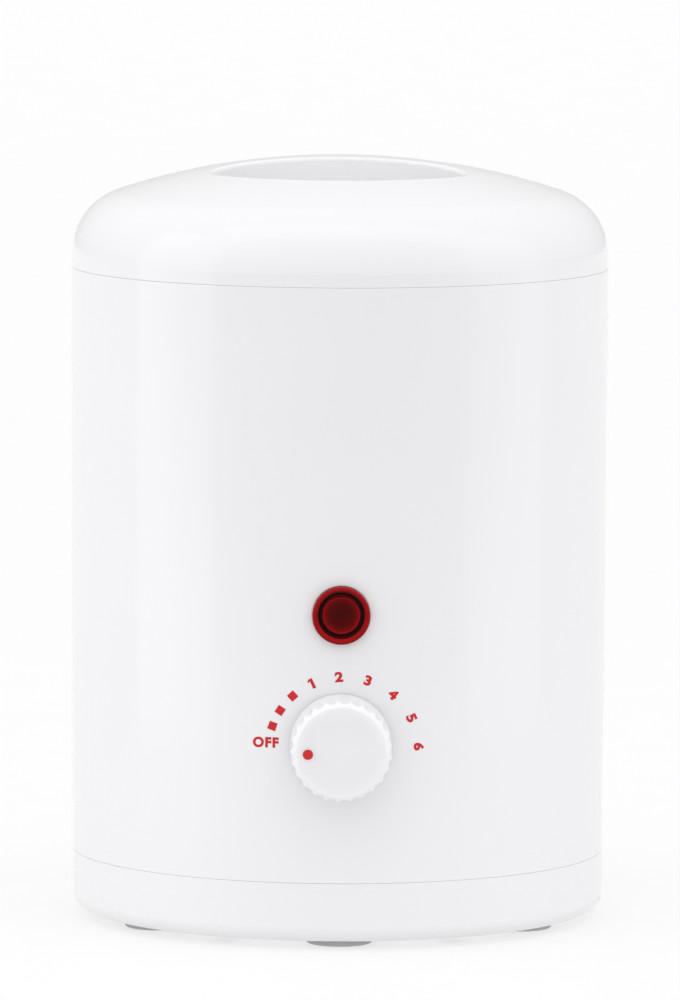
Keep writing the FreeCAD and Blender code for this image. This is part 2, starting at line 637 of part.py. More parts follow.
def outer_casing():
    foot_radius, head_radius = casing_radius(casing_foot), casing_radius(casing_head)
    soft = dim.edge_round
    shell = turned("casing_shell", [
        (foot_radius - soft, casing_foot),
        (foot_radius, casing_foot + soft, foot_radius - soft, casing_foot + soft),
        (head_radius, casing_head - soft),
        (head_radius - soft, casing_head, head_radius - soft, casing_head - soft),
        (head_radius - dim.casing_wall, casing_head),
        (casing_radius(ledge_top) - dim.casing_wall, ledge_top),
        (ledge_radius, ledge_top),
        (ledge_radius, ledge_bottom),
        (casing_radius(ledge_bottom) - dim.casing_wall, ledge_bottom),
        (foot_radius - dim.casing_wall, casing_foot)])
    post_top = post_joint + dim.post_length
    rib_bottom = spigot_top + PAST
    added = []
    holes = []
    for degrees in POST_ANGLES:
        spot = polar(post_circle, degrees)
        added.append(cylinder(f"casing_post_{degrees}", dim.post_radius, dim.post_length,
                              (*spot, post_joint)))
        added.append(spoke(f"casing_rib_{degrees}", post_circle, casing_core - post_circle,
                           dim.post_rib_width, rib_bottom, post_top - rib_bottom, degrees))
        screw_reach = dim.counterbore_depth + dim.base_screw_length + dim.tip_room
        holes.append(cylinder(f"post_hole_{degrees}", base_screw_hole, screw_reach, (*spot, 0)))
    for degrees in COLLAR_SCREW_ANGLES:
        spot = polar(collar_screw_circle, degrees)
        holes.append(cylinder(f"ledge_hole_{degrees}", collar_screw_hole, dim.ledge_thickness + 2 * PAST,
                              (*spot, ledge_bottom - PAST)))
    added.append(box("control_pad", dim.thermostat_width + 2 * dim.casing_wall, casing_core - control_pad,
                     dim.thermostat_height + 2 * dim.casing_wall,
                     (0, -(casing_core + control_pad) / 2, thermostat_bottom - dim.casing_wall)))
    added.append(cylinder("lamp_boss", lamp_boss_radius, lens_seat - lamp_pad,
                          (0, -lamp_pad, lamp_axis), FRONTWARDS))
    added.append(cylinder("gland_boss", gland_boss_radius, gland_seat - gland_pad,
                          (0, gland_pad, gland_axis), REARWARDS))
    core = cylinder("casing_core", casing_core, ledge_bottom)
    inside = common("casing_inside", fuse("casing_added", added), core)

    holes.append(cylinder("bush_hole", bush_radius + dim.screw_clearance,
                          control_front - control_pad + 2 * PAST,
                          (0, -(control_pad - PAST), knob_axis), FRONTWARDS))
    holes.append(cylinder("washer_seat", bush_washer_radius + dim.head_clearance, dim.seat_depth + PAST,
                          (0, -washer_seat, knob_axis), FRONTWARDS))
    holes.append(cylinder("barrel_hole", barrel_radius + dim.screw_clearance, lens_seat - lamp_pad + 2 * PAST,
                          (0, -(lamp_pad - PAST), lamp_axis), FRONTWARDS))
    holes.append(cylinder("lens_seat", lens_radius + dim.fit_gap, dim.lens_seat_depth + PAST,
                          (0, -lens_seat, lamp_axis), FRONTWARDS))
    holes.append(cylinder("gland_hole", gland_neck, gland_seat - gland_pad + 2 * PAST,
                          (0, gland_pad - PAST, gland_axis), REARWARDS))
    holes.append(cylinder("gland_seat", gland_flange + dim.fit_gap, dim.gland_seat_depth + PAST,
                          (0, gland_seat, gland_axis), REARWARDS))
    keep(cut("outer_casing", fuse("casing_solid", [shell, inside]), holes))


# Base: dish with the spigot, the screw posts, the foot pockets and the bosses for the terminal block

def base_cover():
    side_bottom = casing_radius(dim.base_edge_radius)
    top_radius = casing_radius(base_top)
    soft = dim.edge_round
    dish = turned("base_dish", [
        (0, 0),
        (underside_radius, 0),
        (side_bottom, dim.base_edge_radius, underside_radius, dim.base_edge_radius),
        (top_radius, base_top - soft),
        (top_radius - soft, base_top, top_radius - soft, base_top - soft),
        (spigot_outer, base_top),
        (spigot_outer, spigot_top),
        (spigot_inner, spigot_top),
        (spigot_inner, dim.base_floor),
        (0, dim.base_floor)])
    added = [dish]
    holes = []
    for degrees in POST_ANGLES:
        spot = polar(post_circle, degrees)
        added.append(cylinder(f"base_post_{degrees}", dim.post_radius, post_joint, (*spot, 0)))
        holes.append(cylinder(f"counterbore_{degrees}", dim.base_head_radius + dim.head_clearance,
                              dim.counterbore_depth + PAST, (*spot, -PAST)))
        holes.append(cylinder(f"base_hole_{degrees}", base_screw_hole, post_joint + 2 * PAST, (*spot, -PAST)))
    for degrees in FOOT_ANGLES:
        spot = polar(foot_circle, degrees)
        holes.append(cylinder(f"foot_pocket_{degrees}", dim.foot_radius + dim.fit_gap, dim.foot_pocket + PAST,
                              (*spot, -PAST)))
    for side in SIDES:
        spot = (side * block_pitch / 2, dim.block_offset)
        added.append(cylinder(f"block_boss_{side + 1}", block_screw_hole + dim.block_boss_wall, block_floor,
                              (*spot, 0)))
        holes.append(cylinder(f"boss_hole_{side + 1}", block_screw_hole, block_floor,
                              (*spot, dim.base_floor / 2)))
    keep(cut("base_cover", fuse("base_solid", added), holes))


def rubber_feet():
    foot_top = dim.foot_pocket
    foot_low = -dim.foot_standing
    soft = dim.foot_round
    dish_floor = foot_low + dim.foot_dish
    sole_inner = dim.foot_radius - soft - dim.foot_sole
    outline = [(0, dish_floor), (sole_inner - dim.foot_dish, dish_floor), (sole_inner, foot_low),
               (dim.foot_radius - soft, foot_low),
               (dim.foot_radius, foot_low + soft, dim.foot_radius - soft, foot_low + soft),
               (dim.foot_radius, foot_top), (0, foot_top)]
    feet = [turned(f"foot_{degrees}", outline, (*polar(foot_circle, degrees), 0)) for degrees in FOOT_ANGLES]
    keep(group("rubber_feet", feet))


def base_screws():
    screws = [screw(f"base_screw_{degrees}", (dim.base_head_radius, dim.base_head_height),
                    (dim.base_screw_radius, dim.base_screw_length),
                    (*polar(post_circle, degrees), dim.counterbore_depth), UPSIDE_DOWN)
              for degrees in POST_ANGLES]
    keep(group("base_screws", screws))


# Lid: domed shell with two finger scoops, a grip bar between them and a locating lip

lid_edge_centre = casing_top_radius - dim.lid_edge_radius
lid_edge_height = lid_seam + dim.lid_side
dome_radius = ((lid_edge_centre * lid_edge_centre + dim.dome_rise * dim.dome_rise) / (2 * dim.dome_rise)
               + dim.lid_edge_radius)
dome_centre_height = lid_top - dome_radius


def dome(name, inset, bottom, soft):
    """The lid's full form, drawn in by an inset, down to a flat bottom whose edge may be rounded."""
    side = casing_top_radius - inset
    share = (dome_radius - inset) / (dome_radius - dim.lid_edge_radius)
    shoulder = dome_centre_height + (lid_edge_height - dome_centre_height) * share
    outline = [(0, bottom), (side - soft, bottom)]
    if float(soft) > 0:
        outline.append((side, bottom + soft, side - soft, bottom + soft))
    outline += [(side, lid_edge_height),
                (lid_edge_centre * share, shoulder, lid_edge_centre, lid_edge_height),
                (0, lid_top - inset, 0, dome_centre_height)]
    return turned(name, outline)


def scoop(name, grow, degrees):
    """The space of one finger scoop, grown by a wall where the wall round it is meant."""
    radius = dim.scoop_radius + grow
    flank = dim.grip_width / 2 - grow
    corner = dim.scoop_floor_round + dim.scoop_corner_extra + grow
    inner = radius - corner
    down = flank + corner
    across = root(inner * inner - down * down)
    share = radius / inner
    floor = lid_top - dim.scoop_depth - grow
    space = padded(name, "XY_Plane", [
        (across, -flank),
        (across * share, -down * share, across, -down),
        (0, -radius, 0, 0),
        (-across * share, -down * share, 0, 0),
        (-across, -flank, -across, -down)],
        lid_top + PAST - floor, (0, 0, floor), Rotation(Vector(0, 0, 1), dim.lid_turn.value + degrees))
    doc.recompute()
    pad = space.Tip
    low_edges = [f"Edge{number}" for number, edge in enumerate(pad.Shape.Edges, start=1)
                 if edge.BoundBox.ZMax - pad.Shape.BoundBox.ZMin < ON_SURFACE]
    fillet = space.newObject("PartDesign::Fillet", name + "_floor_round")
    fillet.Base = (pad, low_edges)
    bind(fillet, "Radius", dim.scoop_floor_round + grow)
    return space


def lid_shell():
    soft = dim.edge_round
    outside = dome("lid_outside", as_size(0), lid_seam, soft)
    hollow = dome("lid_hollow", dim.lid_wall, lid_seam - PAST, as_size(0))
    scoops = [scoop(f"scoop_{degrees}", as_size(0), degrees) for degrees in (0, 180)]
    walls = [scoop(f"scoop_wall_{degrees}", dim.lid_wall, degrees) for degrees in (0, 180)]
    wall_middle = casing_top_radius - dim.lid_wall / 2
    lip = turned("lid_lip", [
        (lip_inner, lid_seam - dim.lip_depth),
        (lip_outer, lid_seam - dim.lip_depth),
        (lip_outer, lid_seam + soft),
        (wall_middle, lid_seam + soft),
        (wall_middle, lid_seam + dim.lid_side),
        (lip_inner, lid_seam + dim.lid_side)])
    shell = cut("lid_walls", outside, [cut("lid_inside", hollow, walls)] + scoops)
    whole = fuse("lid_sharp", [shell, lip])
    doc.recompute()
    dome_centre = Vector(0, 0, float(dome_centre_height))
    rims = []
    for number, edge in enumerate(whole.Shape.Edges, start=1):
        middle = edge.valueAt((edge.FirstParameter + edge.LastParameter) / 2)
        on_dome = abs(middle.distanceToPoint(dome_centre) - dome_radius.value) < ON_SURFACE
        if on_dome and math.hypot(middle.x, middle.y) < dim.scoop_radius.value + PAST:
            rims.append((number, dim.scoop_rim_round.value, dim.scoop_rim_round.value))
    rounded = doc.addObject("Part::Fillet", "lid_shell")
    rounded.Base = whole
    rounded.Edges = rims
    keep(rounded)


# Pot, well and collar

def inner_pot():
    floor = pot_bottom + dim.pot_wall
    corner = dim.pot_corner_radius
    flange_top = pot_flange_bottom + dim.pot_flange_thickness
    rim = dim.pot_rim_round
    bowl = turned("pot_bowl", [
        (0, pot_bottom),
        (pot_outer - corner, pot_bottom),
        (pot_outer, pot_bottom + corner, pot_outer - corner, pot_bottom + corner),
        (pot_outer, pot_flange_bottom),
        (pot_flange_radius, pot_flange_bottom),
        (pot_flange_radius, flange_top),
        (dim.pot_radius + rim, flange_top),
        (dim.pot_radius, flange_top - rim, dim.pot_radius + rim, flange_top - rim),
        (dim.pot_radius, pot_bottom + corner),
        (pot_outer - corner, floor, pot_outer - corner, pot_bottom + corner),
        (0, floor)])
    ear_reach = lip_inner - dim.ear_gap
    halo = ring("pot_ear_ring", pot_outer, ear_reach, pot_flange_bottom, flange_top)
    across = box("pot_ear_span", 2 * ear_reach, dim.ear_width, dim.pot_flange_thickness,
                 (0, 0, pot_flange_bottom))
    keep(fuse("inner_pot", [bowl, common("pot_ears", halo, across)]))


def heating_well():
    shell = turned("well_shell", [
        (0, well_bottom), (well_outer, well_bottom), (well_outer, gasket_top),
        (well_flange_radius, gasket_top), (well_flange_radius, well_flange_top),
        (well_inner, well_flange_top), (well_inner, well_floor), (0, well_floor)])
    holes = [cylinder(f"well_hole_{degrees}", collar_screw_hole, dim.well_flange_thickness + 2 * PAST,
                      (*polar(collar_screw_circle, degrees), gasket_top - PAST))
             for degrees in COLLAR_SCREW_ANGLES]
    keep(cut("heating_well", shell, holes))
    gasket = ring("gasket_ring", ledge_radius, well_flange_radius, ledge_top, gasket_top)
    holes = [cylinder(f"gasket_hole_{degrees}", collar_screw_hole, dim.gasket_thickness + 2 * PAST,
                      (*polar(collar_screw_circle, degrees), ledge_top - PAST))
             for degrees in COLLAR_SCREW_ANGLES]
    keep(cut("well_gasket", gasket, holes))


def collar_ring():
    wall = dim.collar_wall
    plate = collar_top - dim.collar_plate
    channel = turned("collar_channel", [
        (collar_inner, well_flange_top), (collar_inner + wall, well_flange_top), (collar_inner + wall, plate),
        (collar_outer - wall, plate), (collar_outer - wall, well_flange_top), (collar_outer, well_flange_top),
        (collar_outer, collar_top), (collar_inner, collar_top)])
    added = [channel]
    holes = []
    for degrees in COLLAR_SCREW_ANGLES:
        spot = polar(collar_screw_circle, degrees)
        added.append(cylinder(f"collar_boss_{degrees}", collar_screw_hole + dim.collar_boss_wall,
                              plate - well_flange_top, (*spot, well_flange_top)))
        holes.append(cylinder(f"collar_hole_{degrees}", collar_screw_hole,
                              dim.collar_screw_length + dim.tip_room, (*spot, ledge_bottom)))
    plate_ring = ring("notch_ring", collar_inner + wall, collar_outer - wall, plate - PAST, collar_top + PAST)
    notch_width = dim.ear_width + 2 * dim.notch_margin
    span = box("notch_span", 2 * collar_outer, notch_width, dim.collar_plate + 2 * PAST, (0, 0, plate - PAST))
    holes.append(common("finger_notches", plate_ring, span))
    keep(cut("collar_ring", fuse("collar_solid", added), holes))
    screws = [screw(f"collar_screw_{degrees}", (dim.small_head_radius, dim.small_head_height),
                    (dim.collar_screw_radius, dim.collar_screw_length),
                    (*polar(collar_screw_circle, degrees), ledge_bottom), UPSIDE_DOWN)
              for degrees in COLLAR_SCREW_ANGLES]
    keep(group("collar_screws", screws))


# Heater: mica band with its strap, push-on tabs and felt sleeve

band_bottom = well_floor + dim.band_rise
strap_bottom = band_bottom + dim.band_margin
band_width = dim.strap_width + 2 * dim.band_margin
lug_end = sleeve_outer + dim.lug_reach
bolt_distance = lug_end - dim.bolt_inset
bolt_height = strap_bottom + dim.strap_width / 2
lug_outside = dim.band_split / 2 + dim.strap_thickness


def heater_band():
    whole_band = ring("band_ring", band_inner, band_outer, band_bottom, band_bottom + band_width)
    split = box("band_split_space", dim.band_split, band_outer, band_width + 2 * PAST,
                (0, band_outer / 2 + PAST, band_bottom - PAST))
    keep(cut("heater_band", whole_band, [split]))

    strap_ring = ring("strap_ring", band_outer, strap_outer, strap_bottom, strap_bottom + dim.strap_width)
    lug_start = band_outer - dim.band_thickness / 2
    lugs = [box(f"strap_lug_{side + 1}", dim.strap_thickness, lug_end - lug_start, dim.strap_width,
                (side * (dim.band_split + dim.strap_thickness) / 2, (lug_end + lug_start) / 2, strap_bottom))
            for side in SIDES]
    strap_split = box("strap_split_space", dim.band_split, lug_end + PAST, dim.strap_width + 2 * PAST,
                      (0, (lug_end + PAST) / 2, strap_bottom - PAST))
    under_strap = cylinder("strap_bore", band_outer, dim.strap_width + 2 * PAST, (0, 0, strap_bottom - PAST))
    bolt_hole = cylinder("lug_hole", dim.strap_bolt_radius + dim.screw_clearance, 2 * lug_outside + 2 * PAST,
                         (-(lug_outside + PAST), bolt_distance, bolt_height), SIDEWAYS)
    keep(cut("band_strap", fuse("strap_solid", [strap_ring] + lugs), [strap_split, under_strap, bolt_hole]))

    bolt_length = 2 * lug_outside + dim.strap_bolt_overhang
    keep(screw("strap_bolt", (dim.small_nut_flats / 2, dim.small_nut_thickness),
               (dim.strap_bolt_radius, bolt_length), (lug_outside, bolt_distance, bolt_height), SIDEWAYS))
    keep(nut("strap_nut", dim.small_nut_flats, dim.small_nut_thickness,
             dim.strap_bolt_radius + dim.screw_clearance / 2,
             (-(lug_outside + dim.small_nut_thickness), bolt_distance, bolt_height), SIDEWAYS))


def heater_tabs():
    tab_bottom = band_bottom - dim.tab_length
    tab_height = dim.tab_length + dim.tab_seat
    tabs = []
    for degrees in HEATER_TAB_ANGLES:
        blank = spoke(f"heater_tab_blank_{degrees}", band_inner, dim.band_thickness + dim.tab_thickness,
                      dim.tab_width, tab_bottom, tab_height, degrees)
        bore = cylinder(f"heater_tab_bore_{degrees}", band_outer, tab_height + 2 * PAST,
                        (0, 0, tab_bottom - PAST))
        tabs.append(cut(f"heater_tab_{degrees}", blank, [bore]))
    keep(group("heater_tabs", tabs))


def insulation_sleeve():
    bottom = band_bottom + dim.tab_seat + dim.sleeve_gap
    top = ledge_bottom - dim.small_head_height - dim.tip_room
    whole = ring("sleeve_ring", sleeve_inner, sleeve_outer, bottom, top)
    slot_width = 2 * (lug_outside + dim.strap_bolt_overhang + PAST)
    slot = box("sleeve_slot", slot_width, lug_end, top - bottom + 2 * PAST, (0, strap_outer, bottom - PAST))
    keep(cut("insulation_sleeve", whole, [slot]))


# Thermostat, shaft and knob

thermostat_rear = control_pad - dim.thermostat_depth
rear_tab_height = knob_axis - dim.rear_tab_drop
lamp_tail_length = dim.barrel_tail - 2 * dim.lamp_clip_thickness
lead_line = lamp_rear + lamp_tail_length / 2
hub_start = bush_end + dim.hub_gap - knob_back
bore_end = hub_start + dim.knob_hub_length
knob_length = bore_end + dim.knob_hub_floor + dim.knob_wall


def thermostat():
    at = (0, -control_pad, knob_axis)
    case = box("thermostat_case", dim.thermostat_width, dim.thermostat_depth, dim.thermostat_height,
               (0, -(control_pad + thermostat_rear) / 2, thermostat_bottom))
    bush = cylinder("thermostat_bush", bush_radius, bush_end - control_pad, at, FRONTWARDS)
    socket = cylinder("shaft_socket_space", dim.shaft_radius + dim.shaft_clearance,
                      dim.shaft_socket + bush_end - control_pad + PAST,
                      (0, -(control_pad - dim.shaft_socket), knob_axis), FRONTWARDS)
    keep(cut("thermostat_body", fuse("thermostat_solid", [case, bush]), [socket]))

    washer_at = (0, -washer_seat, knob_axis)
    hole = bush_radius + dim.screw_clearance / 2
    keep(ring("bush_washer", hole, bush_washer_radius, 0, dim.bush_washer_thickness, washer_at, FRONTWARDS))
    keep(nut("bush_nut", 2 * (bush_radius + dim.bush_nut_wall), dim.bush_nut_thickness, hole,
             (0, -nut_seat, knob_axis), FRONTWARDS))

    tabs = [box(f"rear_tab_{side + 1}", dim.tab_width, dim.tab_length, dim.tab_thickness,
                (side * dim.rear_tab_spread, -(thermostat_rear - dim.tab_length / 2),
                 rear_tab_height - dim.tab_thickness / 2)) for side in SIDES]
    tabs += [box(f"top_tab_{side + 1}", dim.tab_width / 2, dim.tab_thickness, dim.top_tab_height,
                 (side * dim.lead_spread, -lead_line, thermostat_top)) for side in SIDES]
    keep(group("thermostat_tabs", tabs))


def knob():
    axis_at = (0, -knob_back, knob_axis)
    shaft_start = control_pad - dim.shaft_socket + dim.shaft_clearance
    shaft_end = knob_back + bore_end
    rod = cylinder("shaft_rod", dim.shaft_radius, shaft_end - shaft_start,
                   (0, -shaft_start, knob_axis), FRONTWARDS)
    flat_width = 2 * dim.shaft_radius
    flat_height = knob_axis + dim.shaft_radius - dim.shaft_flat_depth
    flat = box("shaft_flat_space", flat_width, dim.knob_hub_length + PAST, flat_width,
               (0, -(shaft_end - dim.knob_hub_length / 2 + PAST / 2), flat_height))
    keep(cut("thermostat_shaft", rod, [flat]))
    clip_gap = (dim.shaft_flat_depth - dim.spring_thickness) / 4
    keep(box("knob_spring_clip", dim.shaft_radius, dim.knob_hub_length - dim.tip_room, dim.spring_thickness,
             (0, -(shaft_end - dim.knob_hub_length / 2), flat_height + clip_gap)))

    face_radius = dim.knob_radius - dim.knob_bevel
    inner_top = knob_length - dim.knob_wall
    bore = dim.shaft_radius + dim.shaft_clearance
    hub_radius = bore + dim.knob_hub_wall
    cup = turned("knob_cup", [
        (0, bore_end),
        (bore, bore_end),
        (bore, hub_start),
        (hub_radius, hub_start),
        (hub_radius, inner_top),
        (face_radius - dim.knob_wall, inner_top),
        (dim.knob_radius - dim.knob_wall, 0),
        (dim.knob_radius, 0),
        (dim.knob_radius, knob_length - dim.knob_bevel),
        (face_radius, knob_length),
        (0, knob_length)])
    flute_slope = dim.flute_depth / dim.flute_run
    flute_lean = math.degrees(math.atan(float(flute_slope)))
    flute_foot = (dim.knob_radius + dim.flute_radius - dim.flute_depth
                  + flute_slope * (knob_length + PAST))
    count = int(dim.flute_count.value)
    flutes = []
    for number in range(count):
        spin = Rotation(Vector(0, 0, 1), 360 * number / count)
        flutes.append(cylinder(f"flute_{number}", dim.flute_radius, knob_length + 4 * PAST,
                               (*polar(flute_foot, 360 * number / count), -PAST),
                               spin * Rotation(Vector(0, 1, 0), -flute_lean)))
    dot_low = knob_length - dim.dot_depth
    dot_offset = face_radius - dim.dot_inset - dim.dot_radius
    dot_x, dot_y = polar(dot_offset, dim.dot_angle.value)
    flutes.append(cylinder("dot_pocket", dim.dot_radius, dim.dot_depth + PAST, (dot_x, dot_y, dot_low)))
    keep(place(cut("control_knob", cup, flutes), axis_at, FRONTWARDS))
    keep(cylinder("pointer_dot", dim.dot_radius, dim.dot_depth,
                  (dot_x, -(knob_back + dot_low), knob_axis + dot_y), FRONTWARDS))


# Sensor, thermal fuse and earth stud under the well

bulb_height = well_bottom - dim.rod_gap - dim.bulb_radius
fuse_height = well_bottom - dim.rod_gap - dim.fuse_radius


def saddle_clip(name, rod_radius, distance):
    """A strip bent over a rod, with two feet flat on the well's underside."""
    inner = rod_radius + dim.rod_gap
    outer = inner + dim.clip_thickness
    foot = outer + dim.clip_foot
    centre = -(rod_radius + dim.rod_gap)
    thick = -dim.clip_thickness
    outline = [(-foot, 0), (-foot, thick), (-outer, thick), (-outer, centre), (0, centre - outer, 0, centre),
               (outer, centre, 0, centre), (outer, thick), (foot, thick), (foot, 0), (inner, 0),
               (inner, centre), (0, centre - inner, 0, centre), (-inner, centre, 0, centre), (-inner, 0)]
    keep(padded(name, "YZ_Plane", outline, dim.clip_width, (-dim.clip_width / 2, distance, well_bottom)))


def sensor_and_fuse():
    saddle_clip("bulb_clip", dim.bulb_radius, dim.bulb_offset)
    saddle_clip("fuse_clip", dim.fuse_radius, -dim.fuse_offset)
    radius = dim.bulb_radius
    tip = radius / 2
    core = radius - tip
    half = dim.bulb_length / 2
    keep(turned("sensor_bulb", [
        (0, -half), (core, -half), (radius, tip - half, core, tip - half),
        (radius, half - tip), (core, half, core, half - tip), (0, half)],
        (0, dim.bulb_offset, bulb_height), SIDEWAYS))
    thin = dim.fuse_lead_radius
    half = dim.fuse_length / 2
    lead_end = half + dim.fuse_lead_length
    keep(turned("thermal_fuse", [
        (0, -lead_end), (thin, -lead_end), (thin, -half), (dim.fuse_radius, -half),
        (dim.fuse_radius, half), (thin, half), (thin, lead_end), (0, lead_end)],
        (0, -dim.fuse_offset, fuse_height), SIDEWAYS))
    keep(cylinder("earth_stud", dim.earth_stud_radius, dim.earth_stud_length,
                  (0, dim.earth_stud_offset, well_bottom), UPSIDE_DOWN))
    keep(nut("earth_nut", dim.small_nut_flats, dim.small_nut_thickness,
             dim.earth_stud_radius + dim.screw_clearance / 2,
             (0, dim.earth_stud_offset, well_bottom), UPSIDE_DOWN))


# Pilot lamp: red lens, barrel with its tail, retaining clip and neon bulb

lamp_at = (0, -lens_seat, lamp_axis)


def pilot_lamp():
    half_ring = dim.lens_ring_width / 2
    ring_middle = lens_radius - half_ring
    ring_side = dim.lens_crown - half_ring
    button_top = dim.lens_groove_floor + dim.lens_button_rise
    soft = dim.lens_button_round
    keep(turned("pilot_lens", [
        (0, button_top),
        (0, button_top - dim.lens_wall),
        (lens_bore, button_top - dim.lens_wall),
        (lens_bore, -dim.lens_spigot_length),
        (lens_spigot, -dim.lens_spigot_length),
        (lens_spigot, 0),
        (lens_radius, 0),
        (lens_radius, ring_side),
        (ring_middle, dim.lens_crown, ring_middle, ring_side),
        (lens_ring_inner, ring_side, ring_middle, ring_side),
        (lens_ring_inner, dim.lens_groove_floor),
        (lens_button, dim.lens_groove_floor),
        (lens_button, button_top - soft),
        (lens_button - soft, button_top, lens_button - soft, button_top - soft)], lamp_at, FRONTWARDS))
    length = lens_seat - lamp_rear
    barrel = turned("pilot_barrel", [
        (0, -length), (barrel_radius, -length), (barrel_radius, -dim.fit_gap), (barrel_inner, -dim.fit_gap),
        (barrel_inner, dim.barrel_wall - length), (0, dim.barrel_wall - length)], lamp_at, FRONTWARDS)
    tail_bottom = lamp_axis - barrel_radius - dim.tail_drop
    tail_width = 2 * dim.lead_spread + 4 * dim.lead_radius
    tail = box("pilot_tail", tail_width, lamp_tail_length, lamp_axis - barrel_inner - tail_bottom,
               (0, -lead_line, tail_bottom))
    inside = cylinder("pilot_bore", barrel_inner, length - dim.barrel_wall,
                      (0, -(lamp_rear + dim.barrel_wall), lamp_axis), FRONTWARDS)
    keep(cut("pilot_housing", fuse("pilot_solid", [barrel, tail]), [inside]))
    clip_top = lamp_pad - lens_seat
    keep(ring("pilot_clip", barrel_radius + dim.screw_clearance / 2, lamp_boss_radius,
              clip_top - dim.lamp_clip_thickness, clip_top, lamp_at, FRONTWARDS))
    glass_foot = dim.barrel_wall - length
    glass_top = -dim.lens_wall
    dome_start = glass_top - dim.neon_radius
    keep(turned("neon_bulb", [
        (0, glass_foot), (dim.neon_radius, glass_foot), (dim.neon_radius, dome_start),
        (0, glass_top, 0, dome_start)], lamp_at, FRONTWARDS))
    lead_bottom = thermostat_top + dim.top_tab_height
    leads = [cylinder(f"lamp_lead_{side + 1}", dim.lead_radius, tail_bottom - lead_bottom,
                      (side * dim.lead_spread, -lead_line, lead_bottom)) for side in SIDES]
    keep(group("lamp_leads", leads))


# Cord gland: rubber grommet that grips the rear wall

def cord_gland():
    neck = gland_neck - dim.fit_gap
    thick = dim.gland_flange_thickness
    gripped = gland_seat - gland_pad
    outer_end = gripped + thick
    lip_start = outer_end - dim.gland_lip
    wide_bore = dim.gland_bore_radius + dim.gland_relief
    keep(turned("cord_gland", [
        (wide_bore, -thick), (gland_flange, -thick), (gland_flange, 0), (neck, 0),
        (neck, gripped), (gland_flange, gripped), (gland_flange, gripped + thick / 2),
        (gland_flange - thick / 2, outer_end, gland_flange - thick / 2, gripped + thick / 2),
        (dim.gland_bore_radius, outer_end), (dim.gland_bore_radius, lip_start), (wide_bore, lip_start)],
        (0, gland_pad, gland_axis), REARWARDS))


# Terminal block on the base

def terminal_block():
    body = box("block_body", 2 * (block_pitch + dim.block_end), dim.block_width, dim.block_tall,
               (0, dim.block_offset, block_floor))
    block_top = block_floor + dim.block_tall
    front = dim.block_offset - dim.block_width / 2
    rear = dim.block_offset + dim.block_width / 2
    holes = []
    clamps = []
    clamp_depth = dim.block_tall - dim.terminal_rise - dim.wire_radius
    clamp_seat = block_top - dim.clamp_well_depth
    clamp_length = clamp_depth - dim.clamp_well_depth - dim.screw_clearance
    for number in (-1, 0, 1):
        across = number * block_pitch
        for word, start in (("front", front - PAST), ("rear", rear - dim.wire_entry)):
            holes.append(cylinder(f"wire_hole_{word}_{number + 1}", dim.wire_radius + dim.fit_gap,
                                  dim.wire_entry + PAST, (across, start, terminal_height), REARWARDS))
        holes.append(cylinder(f"clamp_well_{number + 1}", dim.small_head_radius + dim.fit_gap,
                              dim.clamp_well_depth + PAST, (across, dim.block_offset, clamp_seat)))
        holes.append(cylinder(f"clamp_hole_{number + 1}", block_screw_hole, clamp_depth,
                              (across, dim.block_offset, block_top - clamp_depth)))
        clamps.append(screw(f"terminal_screw_{number + 1}", (dim.small_head_radius, dim.small_head_height),
                            (dim.block_screw_radius, clamp_length), (across, dim.block_offset, clamp_seat)))
    fixings = []
    fixing_length = dim.block_tall + dim.block_boss_height - dim.tip_room
    for side in SIDES:
        spot = (side * block_pitch / 2, dim.block_offset)
        holes.append(cylinder(f"fixing_hole_{side + 1}", block_screw_hole, dim.block_tall + 2 * PAST,
                              (*spot, block_floor - PAST)))
        fixings.append(screw(f"block_screw_{side + 1}", (dim.small_head_radius, dim.small_head_height),
                             (dim.block_screw_radius, fixing_length), (*spot, block_top)))
    keep(cut("terminal_block", body, holes))
    keep(group("terminal_screws", clamps))
    keep(group("block_screws", fixings))


# Wires: the ends follow the terminals, the points between are chosen to hang clear of one another

